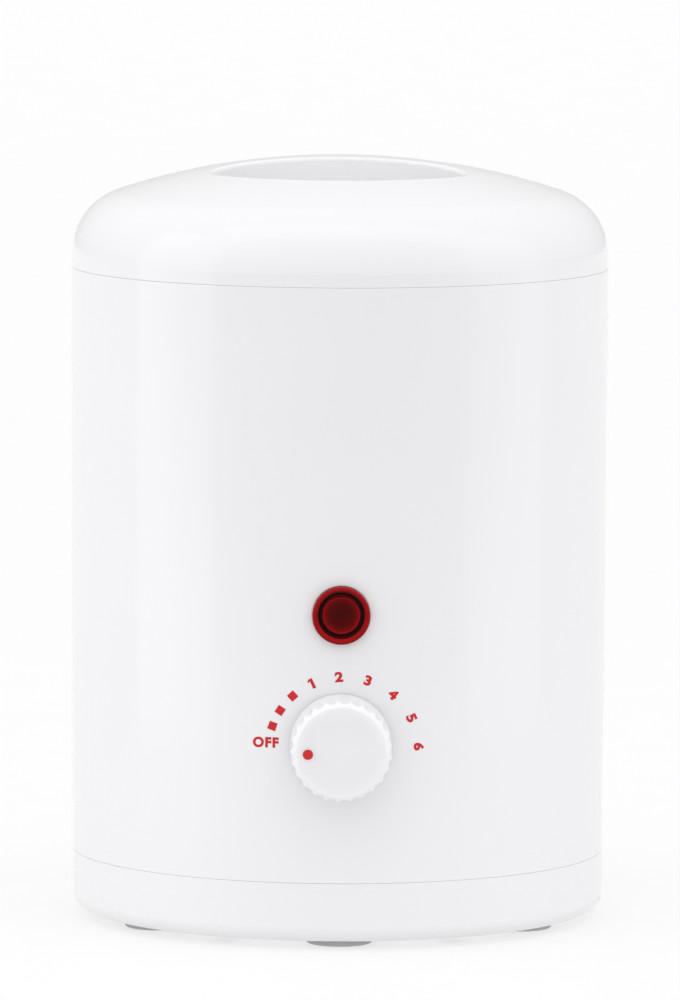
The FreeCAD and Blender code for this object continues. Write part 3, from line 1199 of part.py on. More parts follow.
def wiring():
    front = dim.block_offset - dim.block_width / 2
    inside = front + dim.wire_entry
    tab_end = -(thermostat_rear - dim.tab_length)
    tab_spread = dim.rear_tab_spread
    tab_height = rear_tab_height
    pitch = block_pitch
    keep(wire("live_wire", dim.wire_radius, [
        (-pitch, inside, terminal_height), (-pitch, front - WIRE_START, terminal_height), (-11, 5, 19),
        (-12, -7, 31), (-10, -20, 41), (-tab_spread, tab_end + WIRE_START, tab_height),
        (-tab_spread, tab_end, tab_height)]))
    lead_end = dim.fuse_length / 2 + dim.fuse_lead_length
    keep(wire("feed_wire", dim.wire_radius, [
        (tab_spread, tab_end, tab_height), (tab_spread, tab_end + WIRE_START, tab_height), (13, -22, 55),
        (23, -20, 63), (29, -18.5, 71), (lead_end + WIRE_END, -dim.fuse_offset, fuse_height),
        (lead_end, -dim.fuse_offset, fuse_height)]))
    tab_radius = band_outer + (dim.tab_thickness + dim.wire_radius) / 2
    tab_low = band_bottom - dim.tab_length
    right_tab, left_tab = (polar(tab_radius, degrees) for degrees in HEATER_TAB_ANGLES)

    def below_well(inset, degrees, drop):
        """A point of a wire that runs below the well's edge to the heater."""
        return (*polar(tab_radius - inset, degrees), well_bottom - drop)

    keep(wire("fuse_wire", dim.wire_radius, [
        (-lead_end, -dim.fuse_offset, fuse_height), (-lead_end - WIRE_END, -dim.fuse_offset, fuse_height),
        below_well(23.4, 195, 7.3), below_well(14.4, 172.7, 10.3), below_well(8.1, 153.4, 11.3),
        below_well(3.7, 136.4, 9.3), below_well(-1.2, 124.3, 2.3),
        (left_tab[0], left_tab[1], tab_low - WIRE_END), (left_tab[0], left_tab[1], tab_low)]))
    keep(wire("neutral_wire", dim.wire_radius, [
        (pitch, inside, terminal_height), (pitch, front - WIRE_START, terminal_height), (17, 7, 22),
        (29, 10, 34), (40, 20, 46), below_well(5.9, 36.3, 20.3), below_well(0.9, 46.3, 10.3),
        below_well(-1.2, 55.7, 1.3),
        (right_tab[0], right_tab[1], tab_low - WIRE_END), (right_tab[0], right_tab[1], tab_low)]))
    stud_end = well_bottom - dim.earth_stud_length
    keep(wire("earth_wire", dim.wire_radius, [
        (0, inside, terminal_height), (0, front - WIRE_START, terminal_height), (-1, 8, 22),
        (0, 10, 35), (1, 18, 47), (0, dim.earth_stud_offset, stud_end - WIRE_END),
        (0, dim.earth_stud_offset, stud_end)]))
    bulb_end = dim.bulb_length / 2
    root_height = thermostat_top - dim.capillary_drop
    keep(wire("capillary_tube", dim.capillary_radius, [
        (0, -thermostat_rear, root_height), (0, -(thermostat_rear - WIRE_START), root_height), (9, -28, 66),
        (24, -30, 65), (38, -24, 65), (47, -12, 66), (46, 2, 69),
        (bulb_end + WIRE_END, dim.bulb_offset, bulb_height), (bulb_end, dim.bulb_offset, bulb_height)]))


def check_and_write():
    """Stops at the first failed object or bad shape, then writes each sub-part to its own file."""
    doc.recompute()
    for thing in doc.Objects:
        if "Invalid" in thing.State or "Error" in thing.State:
            raise RuntimeError(f"{thing.Label} failed: {thing.State}")
    for thing in nodes:
        shape = thing.Shape
        if shape.isNull() or not shape.isValid() or not shape.Solids:
            raise RuntimeError(f"{thing.Label} has no valid solid")
    os.makedirs("parts", exist_ok=True)
    for thing in nodes:
        thing.Shape.exportStep(f"parts/{thing.Label}.step")
        print(thing.Label, len(thing.Shape.Solids), "solids", round(thing.Shape.Volume), "mm3")


for build in (outer_casing, base_cover, rubber_feet, base_screws, lid_shell, inner_pot, heating_well,
              collar_ring, heater_band, heater_tabs, insulation_sleeve, thermostat, knob, sensor_and_fuse,
              pilot_lamp, cord_gland, terminal_block, wiring):
    build()
check_and_write()
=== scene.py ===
"""A table-top wax heater in white plastic, dressed and lit round its solid model."""

import math

import bpy
from bpy.props import FloatProperty, FloatVectorProperty, PointerProperty
from mathutils import Matrix, Vector


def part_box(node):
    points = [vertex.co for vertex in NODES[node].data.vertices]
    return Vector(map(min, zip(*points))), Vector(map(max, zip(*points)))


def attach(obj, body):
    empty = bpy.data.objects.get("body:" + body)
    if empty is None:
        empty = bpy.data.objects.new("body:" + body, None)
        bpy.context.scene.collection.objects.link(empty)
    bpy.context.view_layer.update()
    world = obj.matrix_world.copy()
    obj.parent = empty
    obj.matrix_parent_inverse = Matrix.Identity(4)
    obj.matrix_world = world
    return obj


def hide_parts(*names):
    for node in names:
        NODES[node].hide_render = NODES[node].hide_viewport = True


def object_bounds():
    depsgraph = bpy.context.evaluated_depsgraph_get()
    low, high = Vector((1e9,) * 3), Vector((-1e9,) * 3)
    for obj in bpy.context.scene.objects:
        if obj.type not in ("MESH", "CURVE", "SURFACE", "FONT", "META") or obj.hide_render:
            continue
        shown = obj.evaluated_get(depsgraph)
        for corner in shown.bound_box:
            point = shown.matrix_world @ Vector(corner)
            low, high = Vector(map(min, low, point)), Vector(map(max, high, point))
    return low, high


bl_info = {
    "name": "Wax Heater",
    "version": (1, 0, 0),
    "blender": (4, 5, 0),
    "location": "3D View > Sidebar > Wax Heater",
    "description": "Finishes, dial print and studio for a table-top wax heater",
    "category": "Object",
}

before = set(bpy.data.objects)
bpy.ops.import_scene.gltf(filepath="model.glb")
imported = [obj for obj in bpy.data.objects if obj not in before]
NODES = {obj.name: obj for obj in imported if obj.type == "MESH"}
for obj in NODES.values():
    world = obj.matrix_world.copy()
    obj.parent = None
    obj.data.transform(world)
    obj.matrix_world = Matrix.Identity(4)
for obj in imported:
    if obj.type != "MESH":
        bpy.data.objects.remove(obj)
CAD_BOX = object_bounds()
MM = 0.001
NOISE_LOW, NOISE_HIGH = 0.3, 0.7    # nearly all of a noise lies between these
WHITE = (1.0, 1.0, 1.0, 1.0)


def linear(code):
    """An sRGB hex colour as linear red, green and blue, with full alpha."""
    shares = [int(code[start:start + 2], 16) / 255 for start in (1, 3, 5)]
    return tuple(s / 12.92 if s <= 0.04045 else ((s + 0.055) / 1.055) ** 2.4 for s in shares) + (1.0,)


def per_mm(size):
    """The scale of a pattern whose features are so many millimetres across."""
    return 1 / (size * MM)


def length(name, description, default):
    """A size in metres, given here in millimetres."""
    return FloatProperty(name=name, description=description, default=default * MM, unit="LENGTH", precision=5)


def colour(name, description, code):
    """A colour, given here as an sRGB hex value."""
    return FloatVectorProperty(name=name, description=description, default=linear(code), size=4,
                               min=0.0, max=1.0, subtype="COLOR")


# What a user would change


class FinishSettings(bpy.types.PropertyGroup):
    """Colours of the plastics, the ink, the lens and the rubber."""

    casing: colour("Casing", "Glossy white of casing, base and lid", "#E5E5E7")
    knob: colour("Knob", "Satin white of the knob", "#E5E5E7")
    collar: colour("Collar", "Heat-proof white of the collar", "#E2E2E0")
    ink: colour("Ink", "Red of the dial print and the pointer dot", "#C4000C")
    lens: colour("Lens", "Red of the pilot lamp's lens", "#B4000A")
    feet: colour("Feet", "Grey of the rubber feet", "#A9A9AA")
    gland: colour("Gland", "White of the cord gland", "#D9D9D7")


class DialSettings(bpy.types.PropertyGroup):
    """Sizes of the print round the knob."""

    centre_side: length("Centre side", "Distance of the print's centre to the right of the middle", 0.83)
    centre_height: length("Centre height", "Height of the print's centre", 52.98)
    radius: length("Radius", "Radius of the circle on which the print stands", 20.6)
    word_radius: length("Word radius", "Distance of the word at the off place from the centre", 21.4)
    digit_height: length("Digit height", "Height of a digit", 2.85)
    digit_stretch: FloatProperty(name="Digit stretch", description="Width of the digits against the font's",
                                 default=1.2)
    word_height: length("Word height", "Height of the word at the off place", 2.95)
    word_stretch: FloatProperty(name="Word stretch", description="Width of the word against the font's",
                                default=0.98)
    square_side: length("Square side", "Side of a square", 2.25)
    boldness: FloatProperty(name="Boldness", description="Thickening of the strokes, as a share of the size",
                            default=0.05)
    ink_depth: length("Ink depth", "Thickness of the ink on the casing", 0.05)


class FeltSettings(bpy.types.PropertyGroup):
    """Sizes of the felt sleeve round the heater."""

    space: length("Space", "Room that the felt has between the heater and the casing", 5.0)
    thickness: length("Thickness", "Thickness of the felt", 4.3)
    edge_round: length("Edge round", "Rounding of the cut edges", 1.2)
    gap: length("Gap", "Width of the gap at the back, for the tabs of the heater", 34.5)
    lump: length("Lump", "Width of the uneven places", 14.0)
    unevenness: length("Unevenness", "How far the surface wanders in and out", 0.5)


class StageSettings(bpy.types.PropertyGroup):
    """Camera, floor and soft lights."""

    camera_distance: length("Camera distance", "Distance of the camera in front of the heater's axis", 2680.4)
    camera_height: length("Camera height", "Height of the camera", 396.8)
    camera_turn: FloatProperty(name="Camera turn", description="Turn of the camera about the heater's axis",
                               default=math.radians(-0.6), subtype="ANGLE")
    camera_pitch: FloatProperty(name="Camera pitch", description="Downward tilt of the camera",
                                default=math.radians(6.018), subtype="ANGLE")
    camera_roll: FloatProperty(name="Camera roll", description="Roll of the camera",
                               default=math.radians(0.262), subtype="ANGLE")
    camera_lens: FloatProperty(name="Camera lens", description="Focal length in millimetres", default=346.4)
    floor_width: length("Floor width", "Width of the floor", 14000.0)
    left_power: FloatProperty(name="Left power", description="Power of the soft box on the left, in watts",
                              default=0.36, subtype="POWER")
    right_power: FloatProperty(name="Right power", description="Power of the soft box on the right, in watts",
                               default=0.235, subtype="POWER")
    top_power: FloatProperty(name="Top power", description="Power of the soft box overhead, in watts",
                             default=1.2, subtype="POWER")
    room_front: FloatProperty(name="Room front", description="Light of the white room, overhead and in front",
                              default=1.22)
    room_back: FloatProperty(name="Room back", description="Light of the white room, low and behind",
                             default=0.55)
    table_light: FloatProperty(name="Table light", default=0.638,
                               description="Glow of the table under and behind the heater")
    front_light: FloatProperty(name="Front light", description="Glow of the table in front of the heater",
                               default=0.25)


# Building blocks of the materials


def add(tree, kind, inputs=None, **settings):
    """Adds one node, sets its properties, and sets or links its inputs."""
    node = tree.nodes.new(kind)
    for name, value in settings.items():
        setattr(node, name, value)
    for name, value in (inputs or {}).items():
        if isinstance(value, bpy.types.NodeSocket):
            tree.links.new(value, node.inputs[name])
        else:
            node.inputs[name].default_value = value
    return node


def new_material(name):
    """An empty material: itself, its node tree, the Object coordinates and the shader."""
    material = bpy.data.materials.new(name)
    material.use_nodes = True
    tree = material.node_tree
    tree.nodes.clear()
    place = add(tree, "ShaderNodeTexCoord").outputs["Object"]
    shader = add(tree, "ShaderNodeBsdfPrincipled")
    add(tree, "ShaderNodeOutputMaterial", {"Surface": shader.outputs["BSDF"]})
    return material, tree, place, shader


def shade(tone, factor):
    """A colour made lighter or darker by a factor."""
    return tuple(min(1.0, share * factor) for share in tone[:3]) + (1.0,)


def vary(tree, place, shader, base, spread, cloud_mm, roughness, rough_spread, grain_mm, grain_depth):
    """Cloudy colour and gloss, and a fine grain in the surface."""
    cloud = add(tree, "ShaderNodeTexNoise", {"Vector": place, "Scale": per_mm(cloud_mm), "Detail": 3.0})
    tint = add(tree, "ShaderNodeMix", {0: cloud.outputs["Fac"], 6: shade(base, 1 - spread),
                                       7: shade(base, 1 + spread)}, data_type="RGBA")
    gloss = add(tree, "ShaderNodeMapRange", {"Value": cloud.outputs["Fac"], "From Min": NOISE_LOW,
                                             "From Max": NOISE_HIGH,
                                             "To Min": roughness - rough_spread,
                                             "To Max": roughness + rough_spread})
    grain = add(tree, "ShaderNodeTexNoise", {"Vector": place, "Scale": per_mm(grain_mm), "Detail": 2.0})
    bump = add(tree, "ShaderNodeBump", {"Height": grain.outputs["Fac"], "Strength": 1.0,
                                        "Distance": grain_depth * MM})
    tree.links.new(tint.outputs[2], shader.inputs["Base Color"])
    tree.links.new(gloss.outputs[0], shader.inputs["Roughness"])
    tree.links.new(bump.outputs[0], shader.inputs["Normal"])


def wandering_gloss(tree, place, shader, smoothest, roughest):
    """A gloss that wanders in patches of a few millimetres."""
    flow = add(tree, "ShaderNodeTexNoise", {"Vector": place, "Scale": per_mm(2.5), "Detail": 2.0})
    gloss = add(tree, "ShaderNodeMapRange", {"Value": flow.outputs["Fac"], "From Min": NOISE_LOW,
                                             "From Max": NOISE_HIGH, "To Min": smoothest, "To Max": roughest})
    tree.links.new(gloss.outputs[0], shader.inputs["Roughness"])


def moulded_plastic(name, base, roughness, grain_mm=1.4, grain_depth=0.004, ior=1.53, spread=0.012,
                    glow=0.0):
    """Injection-moulded plastic: faintly cloudy, with the slight orange peel of the mould."""
    material, tree, place, shader = new_material(name)
    shader.inputs["IOR"].default_value = ior
    shader.inputs["Subsurface Weight"].default_value = glow
    # Light spreads some 3 mm inside a white plastic, in all colours alike
    shader.inputs["Subsurface Radius"].default_value = WHITE[:3]
    shader.inputs["Subsurface Scale"].default_value = 3 * MM
    vary(tree, place, shader, base, spread=spread, cloud_mm=38.0, roughness=roughness, rough_spread=0.03,
         grain_mm=grain_mm, grain_depth=grain_depth)
    return material


def turned_metal(name, base, roughness, line_mm):
    """Spun or drawn metal: fine rings round the upright axis, on walls and floors alike."""
    material, tree, place, shader = new_material(name)
    shader.inputs["Metallic"].default_value = 1.0
    parts = add(tree, "ShaderNodeSeparateXYZ", {"Vector": place})
    flat = add(tree, "ShaderNodeCombineXYZ", {"X": parts.outputs["X"], "Y": parts.outputs["Y"]})
    reach = add(tree, "ShaderNodeVectorMath", {0: flat.outputs[0]}, operation="LENGTH")
    ring = add(tree, "ShaderNodeCombineXYZ", {"X": reach.outputs["Value"], "Y": parts.outputs["Z"]})
    lines = add(tree, "ShaderNodeTexNoise", {"Vector": ring.outputs[0], "Scale": per_mm(line_mm),
                                             "Detail": 1.0, "Roughness": 0.5}, noise_dimensions="2D")
    patch = add(tree, "ShaderNodeTexNoise", {"Vector": place, "Scale": per_mm(25.0), "Detail": 3.0})
    tint = add(tree, "ShaderNodeMix", {0: lines.outputs["Fac"], 6: shade(base, 0.9), 7: shade(base, 1.06)},
               data_type="RGBA")
    gloss = add(tree, "ShaderNodeMapRange", {"Value": patch.outputs["Fac"], "From Min": NOISE_LOW,
                                             "From Max": NOISE_HIGH, "To Min": roughness - 0.05,
                                             "To Max": roughness + 0.06})
    bump = add(tree, "ShaderNodeBump", {"Height": lines.outputs["Fac"], "Strength": 1.0,
                                        "Distance": 0.02 * MM})
    tree.links.new(tint.outputs[2], shader.inputs["Base Color"])
    tree.links.new(gloss.outputs[0], shader.inputs["Roughness"])
    tree.links.new(bump.outputs[0], shader.inputs["Normal"])
    return material


def plain_metal(name, base, roughness):
    """Plated or drawn small metal pieces: uneven gloss, and a fine grain."""
    material, tree, place, shader = new_material(name)
    shader.inputs["Metallic"].default_value = 1.0
    vary(tree, place, shader, base, spread=0.06, cloud_mm=3.0, roughness=roughness, rough_spread=0.08,
         grain_mm=0.5, grain_depth=0.004)
    return material


def soft_rubber(name, base, roughness=0.62):
    """Moulded rubber: dull, with a fine powdery grain."""
    material, tree, place, shader = new_material(name)
    shader.inputs["IOR"].default_value = 1.52
    vary(tree, place, shader, base, spread=0.06, cloud_mm=6.0, roughness=roughness, rough_spread=0.08,
         grain_mm=0.45, grain_depth=0.02)
    return material


def clear_glass(name, base):
    """Blown glass: clear, with a gloss that wanders a little."""
    material, tree, place, shader = new_material(name)
    shader.inputs["Base Color"].default_value = base
    shader.inputs["IOR"].default_value = 1.5
    shader.inputs["Transmission Weight"].default_value = 1.0
    wandering_gloss(tree, place, shader, 0.01, 0.06)
    return material


def red_lens_with_painted_shade(name, base, node):
    """Red plastic of a lens, with painted shade darkening its middle and its groove, and a painted glow at
    its rims.
    """
    material, tree, place, shader = new_material(name)
    low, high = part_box(node)
    # The darkest painted shade lies a little above the middle, because the light falls in from above
    rise = 0.35 * MM
    middle = [-(near + far) / 2 for near, far in zip(low, high)]
    middle[2] -= rise
    shift = add(tree, "ShaderNodeMapping", {"Vector": place, "Location": middle})
    parts = add(tree, "ShaderNodeSeparateXYZ", {"Vector": shift.outputs[0]})
    flat = add(tree, "ShaderNodeCombineXYZ", {"X": parts.outputs["X"], "Y": parts.outputs["Z"]})
    reach = add(tree, "ShaderNodeVectorMath", {0: flat.outputs[0]}, operation="LENGTH")
    share = add(tree, "ShaderNodeMapRange", {"Value": reach.outputs["Value"],
                                             "From Max": (high[0] - low[0]) / 2})
    # This ramp paints the lens's shade and glow into its colour, by the distance from the lens's middle
    depth = add(tree, "ShaderNodeValToRGB", {"Fac": share.outputs[0]})
    # Shares of the lens's radius, and how much of the red shows there: painted shade in the middle and the
    # groove, painted glow at the rims
    rings = ((0.0, 0.1), (0.4, 0.15), (0.56, 0.3), (0.63, 0.6), (0.66, 0.24), (0.69, 0.03), (0.78, 0.03),
             (0.84, 0.45), (0.9, 0.7), (1.0, 0.5))
    stops = depth.color_ramp.elements
    for start, glow in rings[1:-1]:
        stops.new(start).color = shade(base, glow)
    stops[0].color = shade(base, rings[0][1])
    stops[len(stops) - 1].color = shade(base, rings[-1][1])
    shader.inputs["IOR"].default_value = 1.585
    shader.inputs["Specular IOR Level"].default_value = 0.08
    tree.links.new(depth.outputs["Color"], shader.inputs["Base Color"])
    wandering_gloss(tree, place, shader, 0.04, 0.1)
    return material


def pressed_felt(name, base):
    """Pressed glass felt: tangled fibres, dull and uneven."""
    material, tree, place, shader = new_material(name)
    fibre = add(tree, "ShaderNodeTexNoise", {"Vector": place, "Scale": per_mm(0.9), "Detail": 5.0,
                                             "Roughness": 0.8, "Distortion": 2.0})
    tint = add(tree, "ShaderNodeMix", {0: fibre.outputs["Fac"], 6: shade(base, 0.7), 7: shade(base, 1.15)},
               data_type="RGBA")
    bump = add(tree, "ShaderNodeBump", {"Height": fibre.outputs["Fac"], "Strength": 1.0,
                                        "Distance": 0.4 * MM})
    shader.inputs["Roughness"].default_value = 0.95
    shader.inputs["Sheen Weight"].default_value = 0.3
    tree.links.new(tint.outputs[2], shader.inputs["Base Color"])
    tree.links.new(bump.outputs[0], shader.inputs["Normal"])
    return material


def mica_sheet(name, base):
    """Pressed mica: overlapping pale and dark flakes with a pearly gloss."""
    material, tree, place, shader = new_material(name)
    flakes = add(tree, "ShaderNodeTexVoronoi", {"Vector": place, "Scale": per_mm(5.0), "Randomness": 1.0})
    tint = add(tree, "ShaderNodeMix", {0: flakes.outputs["Distance"], 6: shade(base, 1.25),
                                       7: shade(base, 0.6)}, data_type="RGBA")
    bump = add(tree, "ShaderNodeBump", {"Height": flakes.outputs["Distance"], "Strength": 0.6,
                                        "Distance": 0.06 * MM})
    shader.inputs["Roughness"].default_value = 0.38
    tree.links.new(tint.outputs[2], shader.inputs["Base Color"])
    tree.links.new(bump.outputs[0], shader.inputs["Normal"])
    return material


def striped_insulation(name, base, stripe, stripe_mm):
    """Extruded insulation in two colours, with the dull gloss of soft plastic."""
    material, tree, place, shader = new_material(name)
    bands = add(tree, "ShaderNodeTexWave", {"Vector": place, "Scale": per_mm(stripe_mm) / math.tau,
                                            "Distortion": 1.5}, bands_direction="DIAGONAL")
    edge = add(tree, "ShaderNodeMapRange", {"Value": bands.outputs["Fac"], "From Min": 0.62, "From Max": 0.7})
    tint = add(tree, "ShaderNodeMix", {0: edge.outputs[0], 6: base, 7: stripe}, data_type="RGBA")
    shader.inputs["Roughness"].default_value = 0.42
    tree.links.new(tint.outputs[2], shader.inputs["Base Color"])
    return material


def woven_braid(name, base, strand_mm):
    """Braided glass yarn: two sets of strands that cross, each with its own shadow."""
    material, tree, place, shader = new_material(name)
    sets = []
    for side in (-1, 1):
        lean = add(tree, "ShaderNodeMapping", {"Vector": place, "Rotation": (0.0, side * math.pi / 4, 0.0)})
        strands = add(tree, "ShaderNodeTexWave", {"Vector": lean.outputs[0],
                                                  "Scale": per_mm(strand_mm) / math.tau})
        sets.append(strands.outputs["Fac"])
    weave = add(tree, "ShaderNodeMath", {0: sets[0], 1: sets[1]}, operation="MAXIMUM")
    tint = add(tree, "ShaderNodeMix", {0: weave.outputs[0], 6: shade(base, 0.62), 7: base}, data_type="RGBA")
    bump = add(tree, "ShaderNodeBump", {"Height": weave.outputs[0], "Strength": 1.0, "Distance": 0.12 * MM})
    shader.inputs["Roughness"].default_value = 0.7
    tree.links.new(tint.outputs[2], shader.inputs["Base Color"])
    tree.links.new(bump.outputs[0], shader.inputs["Normal"])
    return material


# Helpers for the operators


def dress(names, material):
    """Gives solid nodes a finish."""
    for name in names:
        node = NODES[name]
        if not node.material_slots:
            node.data.materials.append(material)
        for holder in node.material_slots:
            holder.material = material


def alone(thing):
    """Makes one object the only selected one, and the active one."""
    bpy.ops.object.select_all(action="DESELECT")
    thing.select_set(True)
    bpy.context.view_layer.objects.active = thing


def settle(thing):
    """Puts an object's place into its mesh, so that it sits at the origin, unturned and unscaled."""
    alone(thing)
    bpy.ops.object.transform_apply(location=True, rotation=True, scale=True)


class StepBase:
    """What every step of the making shares."""

    bl_options = {"REGISTER", "UNDO"}

    @classmethod
    def poll(cls, context):
        return context.mode == "OBJECT"


class HEATER_OT_shell(StepBase, bpy.types.Operator):
    """Finishes the casing, the base and the lid"""

    bl_idname = "heater.shell"
    bl_label = "Casing, base and lid"

    def execute(self, context):
        # Glossy ABS: bright, with soft clear reflections of the lights
        look = context.scene.heater_finish
        dress(["outer_casing", "base_cover", "lid_shell"],
              moulded_plastic("glossy_moulded_abs", look.casing, 0.12))
        return {"FINISHED"}


class HEATER_OT_knob(StepBase, bpy.types.Operator):
    """Finishes the knob and its pointer dot"""

    bl_idname = "heater.knob"
    bl_label = "Knob"

    def execute(self, context):
        look = context.scene.heater_finish
        # Satin ABS: the same white as the casing, but the lights blur on it, and it glows a little inside
        dress(["control_knob"], moulded_plastic("satin_moulded_abs", look.knob, 0.32, grain_mm=0.9,
                                                grain_depth=0.006, glow=0.6))
        # Pad-printed ink: strong even red, slightly patchy where the pad lifted
        dress(["pointer_dot"], moulded_plastic("pad_printed_ink", look.ink, 0.35, grain_mm=0.5,
                                               grain_depth=0.008, ior=1.5, spread=0.08))
        return {"FINISHED"}


class HEATER_OT_lamp(StepBase, bpy.types.Operator):
    """Finishes the pilot lamp: lens, barrel and neon bulb"""

    bl_idname = "heater.lamp"
    bl_label = "Pilot lamp"

    def execute(self, context):
        look = context.scene.heater_finish
        # Red polycarbonate with a painted glow at the rims, and painted near-black shade in the middle and
        # the groove
        dress(["pilot_lens"], red_lens_with_painted_shade("moulded_red_polycarbonate", look.lens, "pilot_lens"))
        # Blown glass: the bulb shows only by its gloss
        dress(["neon_bulb"], clear_glass("blown_clear_glass", linear("#F6EDE8")))
        # Undyed nylon: milky and dull
        dress(["pilot_housing"], moulded_plastic("moulded_natural_nylon", linear("#E4E2D8"), 0.45,
                                                 grain_mm=0.8, grain_depth=0.01))
        return {"FINISHED"}


class HEATER_OT_pot(StepBase, bpy.types.Operator):
    """Finishes the pot, the well, the collar and the gasket"""

    bl_idname = "heater.pot"
    bl_label = "Pot and well"

    def execute(self, context):
        look = context.scene.heater_finish
        # Spun aluminium: fine rings from the spinning tool, drawn coarser than they are so that they show
        dress(["inner_pot"], turned_metal("spun_aluminium", linear("#DBDCDE"), 0.27, 2.2))
        # Deep-drawn aluminium: duller, with wider faint rings
        dress(["heating_well", "thermal_fuse"], turned_metal("drawn_aluminium", linear("#CDCED0"), 0.4, 3.5))
        # Heat-proof PBT: a dull white with the fine grain of an etched mould
        dress(["collar_ring"], moulded_plastic("satin_moulded_pbt", look.collar, 0.42, grain_mm=0.7,
                                               grain_depth=0.012))
        # Silicone: brick red, soft and dull
        dress(["well_gasket"], soft_rubber("moulded_red_silicone", linear("#A8382C"), 0.5))
        return {"FINISHED"}


class HEATER_OT_feet(StepBase, bpy.types.Operator):
    """Finishes the rubber feet and the cord gland"""

    bl_idname = "heater.feet"
    bl_label = "Feet and gland"

    def execute(self, context):
        look = context.scene.heater_finish
        # Moulded rubber: dull and powdery, without clear reflections
        dress(["rubber_feet"], soft_rubber("grey_moulded_rubber", look.feet))
        # White rubber: as dull, but smoother from a polished mould
        dress(["cord_gland"], soft_rubber("white_moulded_rubber", look.gland, 0.5))
        return {"FINISHED"}


class HEATER_OT_works(StepBase, bpy.types.Operator):
    """Finishes the heater, the thermostat and the fastenings inside"""

    bl_idname = "heater.works"
    bl_label = "Heater and thermostat"

    def execute(self, context):
        # Zinc plating: a cool grey gloss, uneven from the bath
        dress(["band_strap", "strap_bolt", "strap_nut", "base_screws", "collar_screws", "bush_washer",
               "bush_nut", "thermostat_shaft", "knob_spring_clip", "bulb_clip", "fuse_clip", "pilot_clip",
               "terminal_screws", "block_screws", "earth_stud", "earth_nut"],
              plain_metal("zinc_plated_steel", linear("#C9C9C4"), 0.33))
        # Stamped brass: warm yellow, a little tarnished
        dress(["heater_tabs", "thermostat_tabs"], plain_metal("stamped_brass", linear("#C9A55C"), 0.35))
        # Drawn copper: reddish, with soft patches
        dress(["sensor_bulb", "capillary_tube"], plain_metal("drawn_copper", linear("#C98A66"), 0.32))
        # Pressed mica: flaky and pearly
        dress(["heater_band"], mica_sheet("pressed_mica", linear("#A8977A")))
        # Phenolic: nearly black, with pale dust in its grain
        dress(["thermostat_body"],
              moulded_plastic("moulded_dark_phenolic", linear("#2E2826"), 0.4, grain_mm=0.6,
                              grain_depth=0.02, ior=1.6, spread=0.1))
        # Undyed nylon: ivory and dull
        dress(["terminal_block"], moulded_plastic("moulded_ivory_nylon", linear("#E0DCCB"), 0.45,
                                                  grain_mm=0.8, grain_depth=0.01))
        return {"FINISHED"}


class HEATER_OT_sleeve(StepBase, bpy.types.Operator):
    """Wraps the felt sleeve round the heater, with a gap at the back"""

    bl_idname = "heater.sleeve"
    bl_label = "Felt sleeve"

    points = 240        # round the whole circle
    layers = 14         # from the lower to the upper edge
    edge_steps = 3      # faces across a rounded edge
    smooth_below = math.radians(40)

    def execute(self, context):
        felt = context.scene.heater_felt
        low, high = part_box("insulation_sleeve")
        bottom = low[2] + felt.unevenness
        rise = (high[2] - felt.unevenness - bottom) / self.layers
        radius = (high[0] - low[0] - felt.space) / 2
        bpy.ops.object.select_all(action="DESELECT")
        bpy.ops.mesh.primitive_circle_add(vertices=self.points, radius=radius, location=(0, 0, bottom))
        sleeve = context.object
        sleeve.name = "felt_sleeve"
        sleeve.data.name = "felt_sleeve"
        settle(sleeve)
        bpy.ops.object.mode_set(mode="EDIT")
        bpy.ops.mesh.select_all(action="DESELECT")
        bpy.ops.object.mode_set(mode="OBJECT")
        for point in sleeve.data.vertices:
            point.select = point.co.y > 0 and abs(point.co.x) < felt.gap / 2
        bpy.ops.object.mode_set(mode="EDIT")
        bpy.ops.mesh.delete(type="VERT")
        bpy.ops.mesh.select_all(action="SELECT")
        for layer in range(self.layers):
            bpy.ops.mesh.extrude_region_move(TRANSFORM_OT_translate={"value": (0, 0, rise)})
        bpy.ops.mesh.select_all(action="SELECT")
        bpy.ops.mesh.normals_make_consistent(inside=False)
        bpy.ops.object.mode_set(mode="OBJECT")
        wall = sleeve.modifiers.new("thickness", "SOLIDIFY")
        wall.thickness = felt.thickness
        wall.offset = 0.0
        soft = sleeve.modifiers.new("soft edges", "BEVEL")
        soft.width = felt.edge_round
        soft.segments = self.edge_steps
        soft.limit_method = "ANGLE"
        lumps = bpy.data.textures.new("felt_lumps", "CLOUDS")
        lumps.noise_scale = felt.lump
        wander = sleeve.modifiers.new("unevenness", "DISPLACE")
        wander.texture = lumps
        wander.strength = felt.unevenness
        for modifier in (wall, soft, wander):
            bpy.ops.object.modifier_apply(modifier=modifier.name)
        bpy.ops.object.shade_smooth_by_angle(angle=self.smooth_below)
        # Pressed glass felt: dull tangled pale fibres, drawn coarser than they are so that they show
        sleeve.data.materials.append(pressed_felt("pressed_glass_felt", linear("#E2DECF")))
        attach(sleeve, "housing")
        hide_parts("insulation_sleeve")
        return {"FINISHED"}


class HEATER_OT_wiring(StepBase, bpy.types.Operator):
    """Finishes the wires"""

    bl_idname = "heater.wiring"
    bl_label = "Wires"

    def execute(self, context):
        # Extruded insulation: plain colours with a dull gloss
        coats = {"live_wire": ("extruded_brown_pvc", "#5C3416"),
                 "neutral_wire": ("extruded_blue_pvc", "#2352A6"),
                 "lamp_leads": ("extruded_black_pvc", "#1F1F20")}
        for node, (name, code) in coats.items():
            dress([node], moulded_plastic(name, linear(code), 0.4, grain_mm=0.6, grain_depth=0.01,
                                          spread=0.06))
        # The earth wire has a yellow stripe along its green
        dress(["earth_wire"], striped_insulation("extruded_green_yellow_pvc", linear("#3F7F2A"),
                                                 linear("#D8C02C"), 5.0))
        # Glass yarn braid: a pale cross weave, with strands drawn coarser than they are so that they show
        dress(["feed_wire", "fuse_wire"], woven_braid("braided_glass_yarn", linear("#E4E1D6"), 0.8))
        return {"FINISHED"}


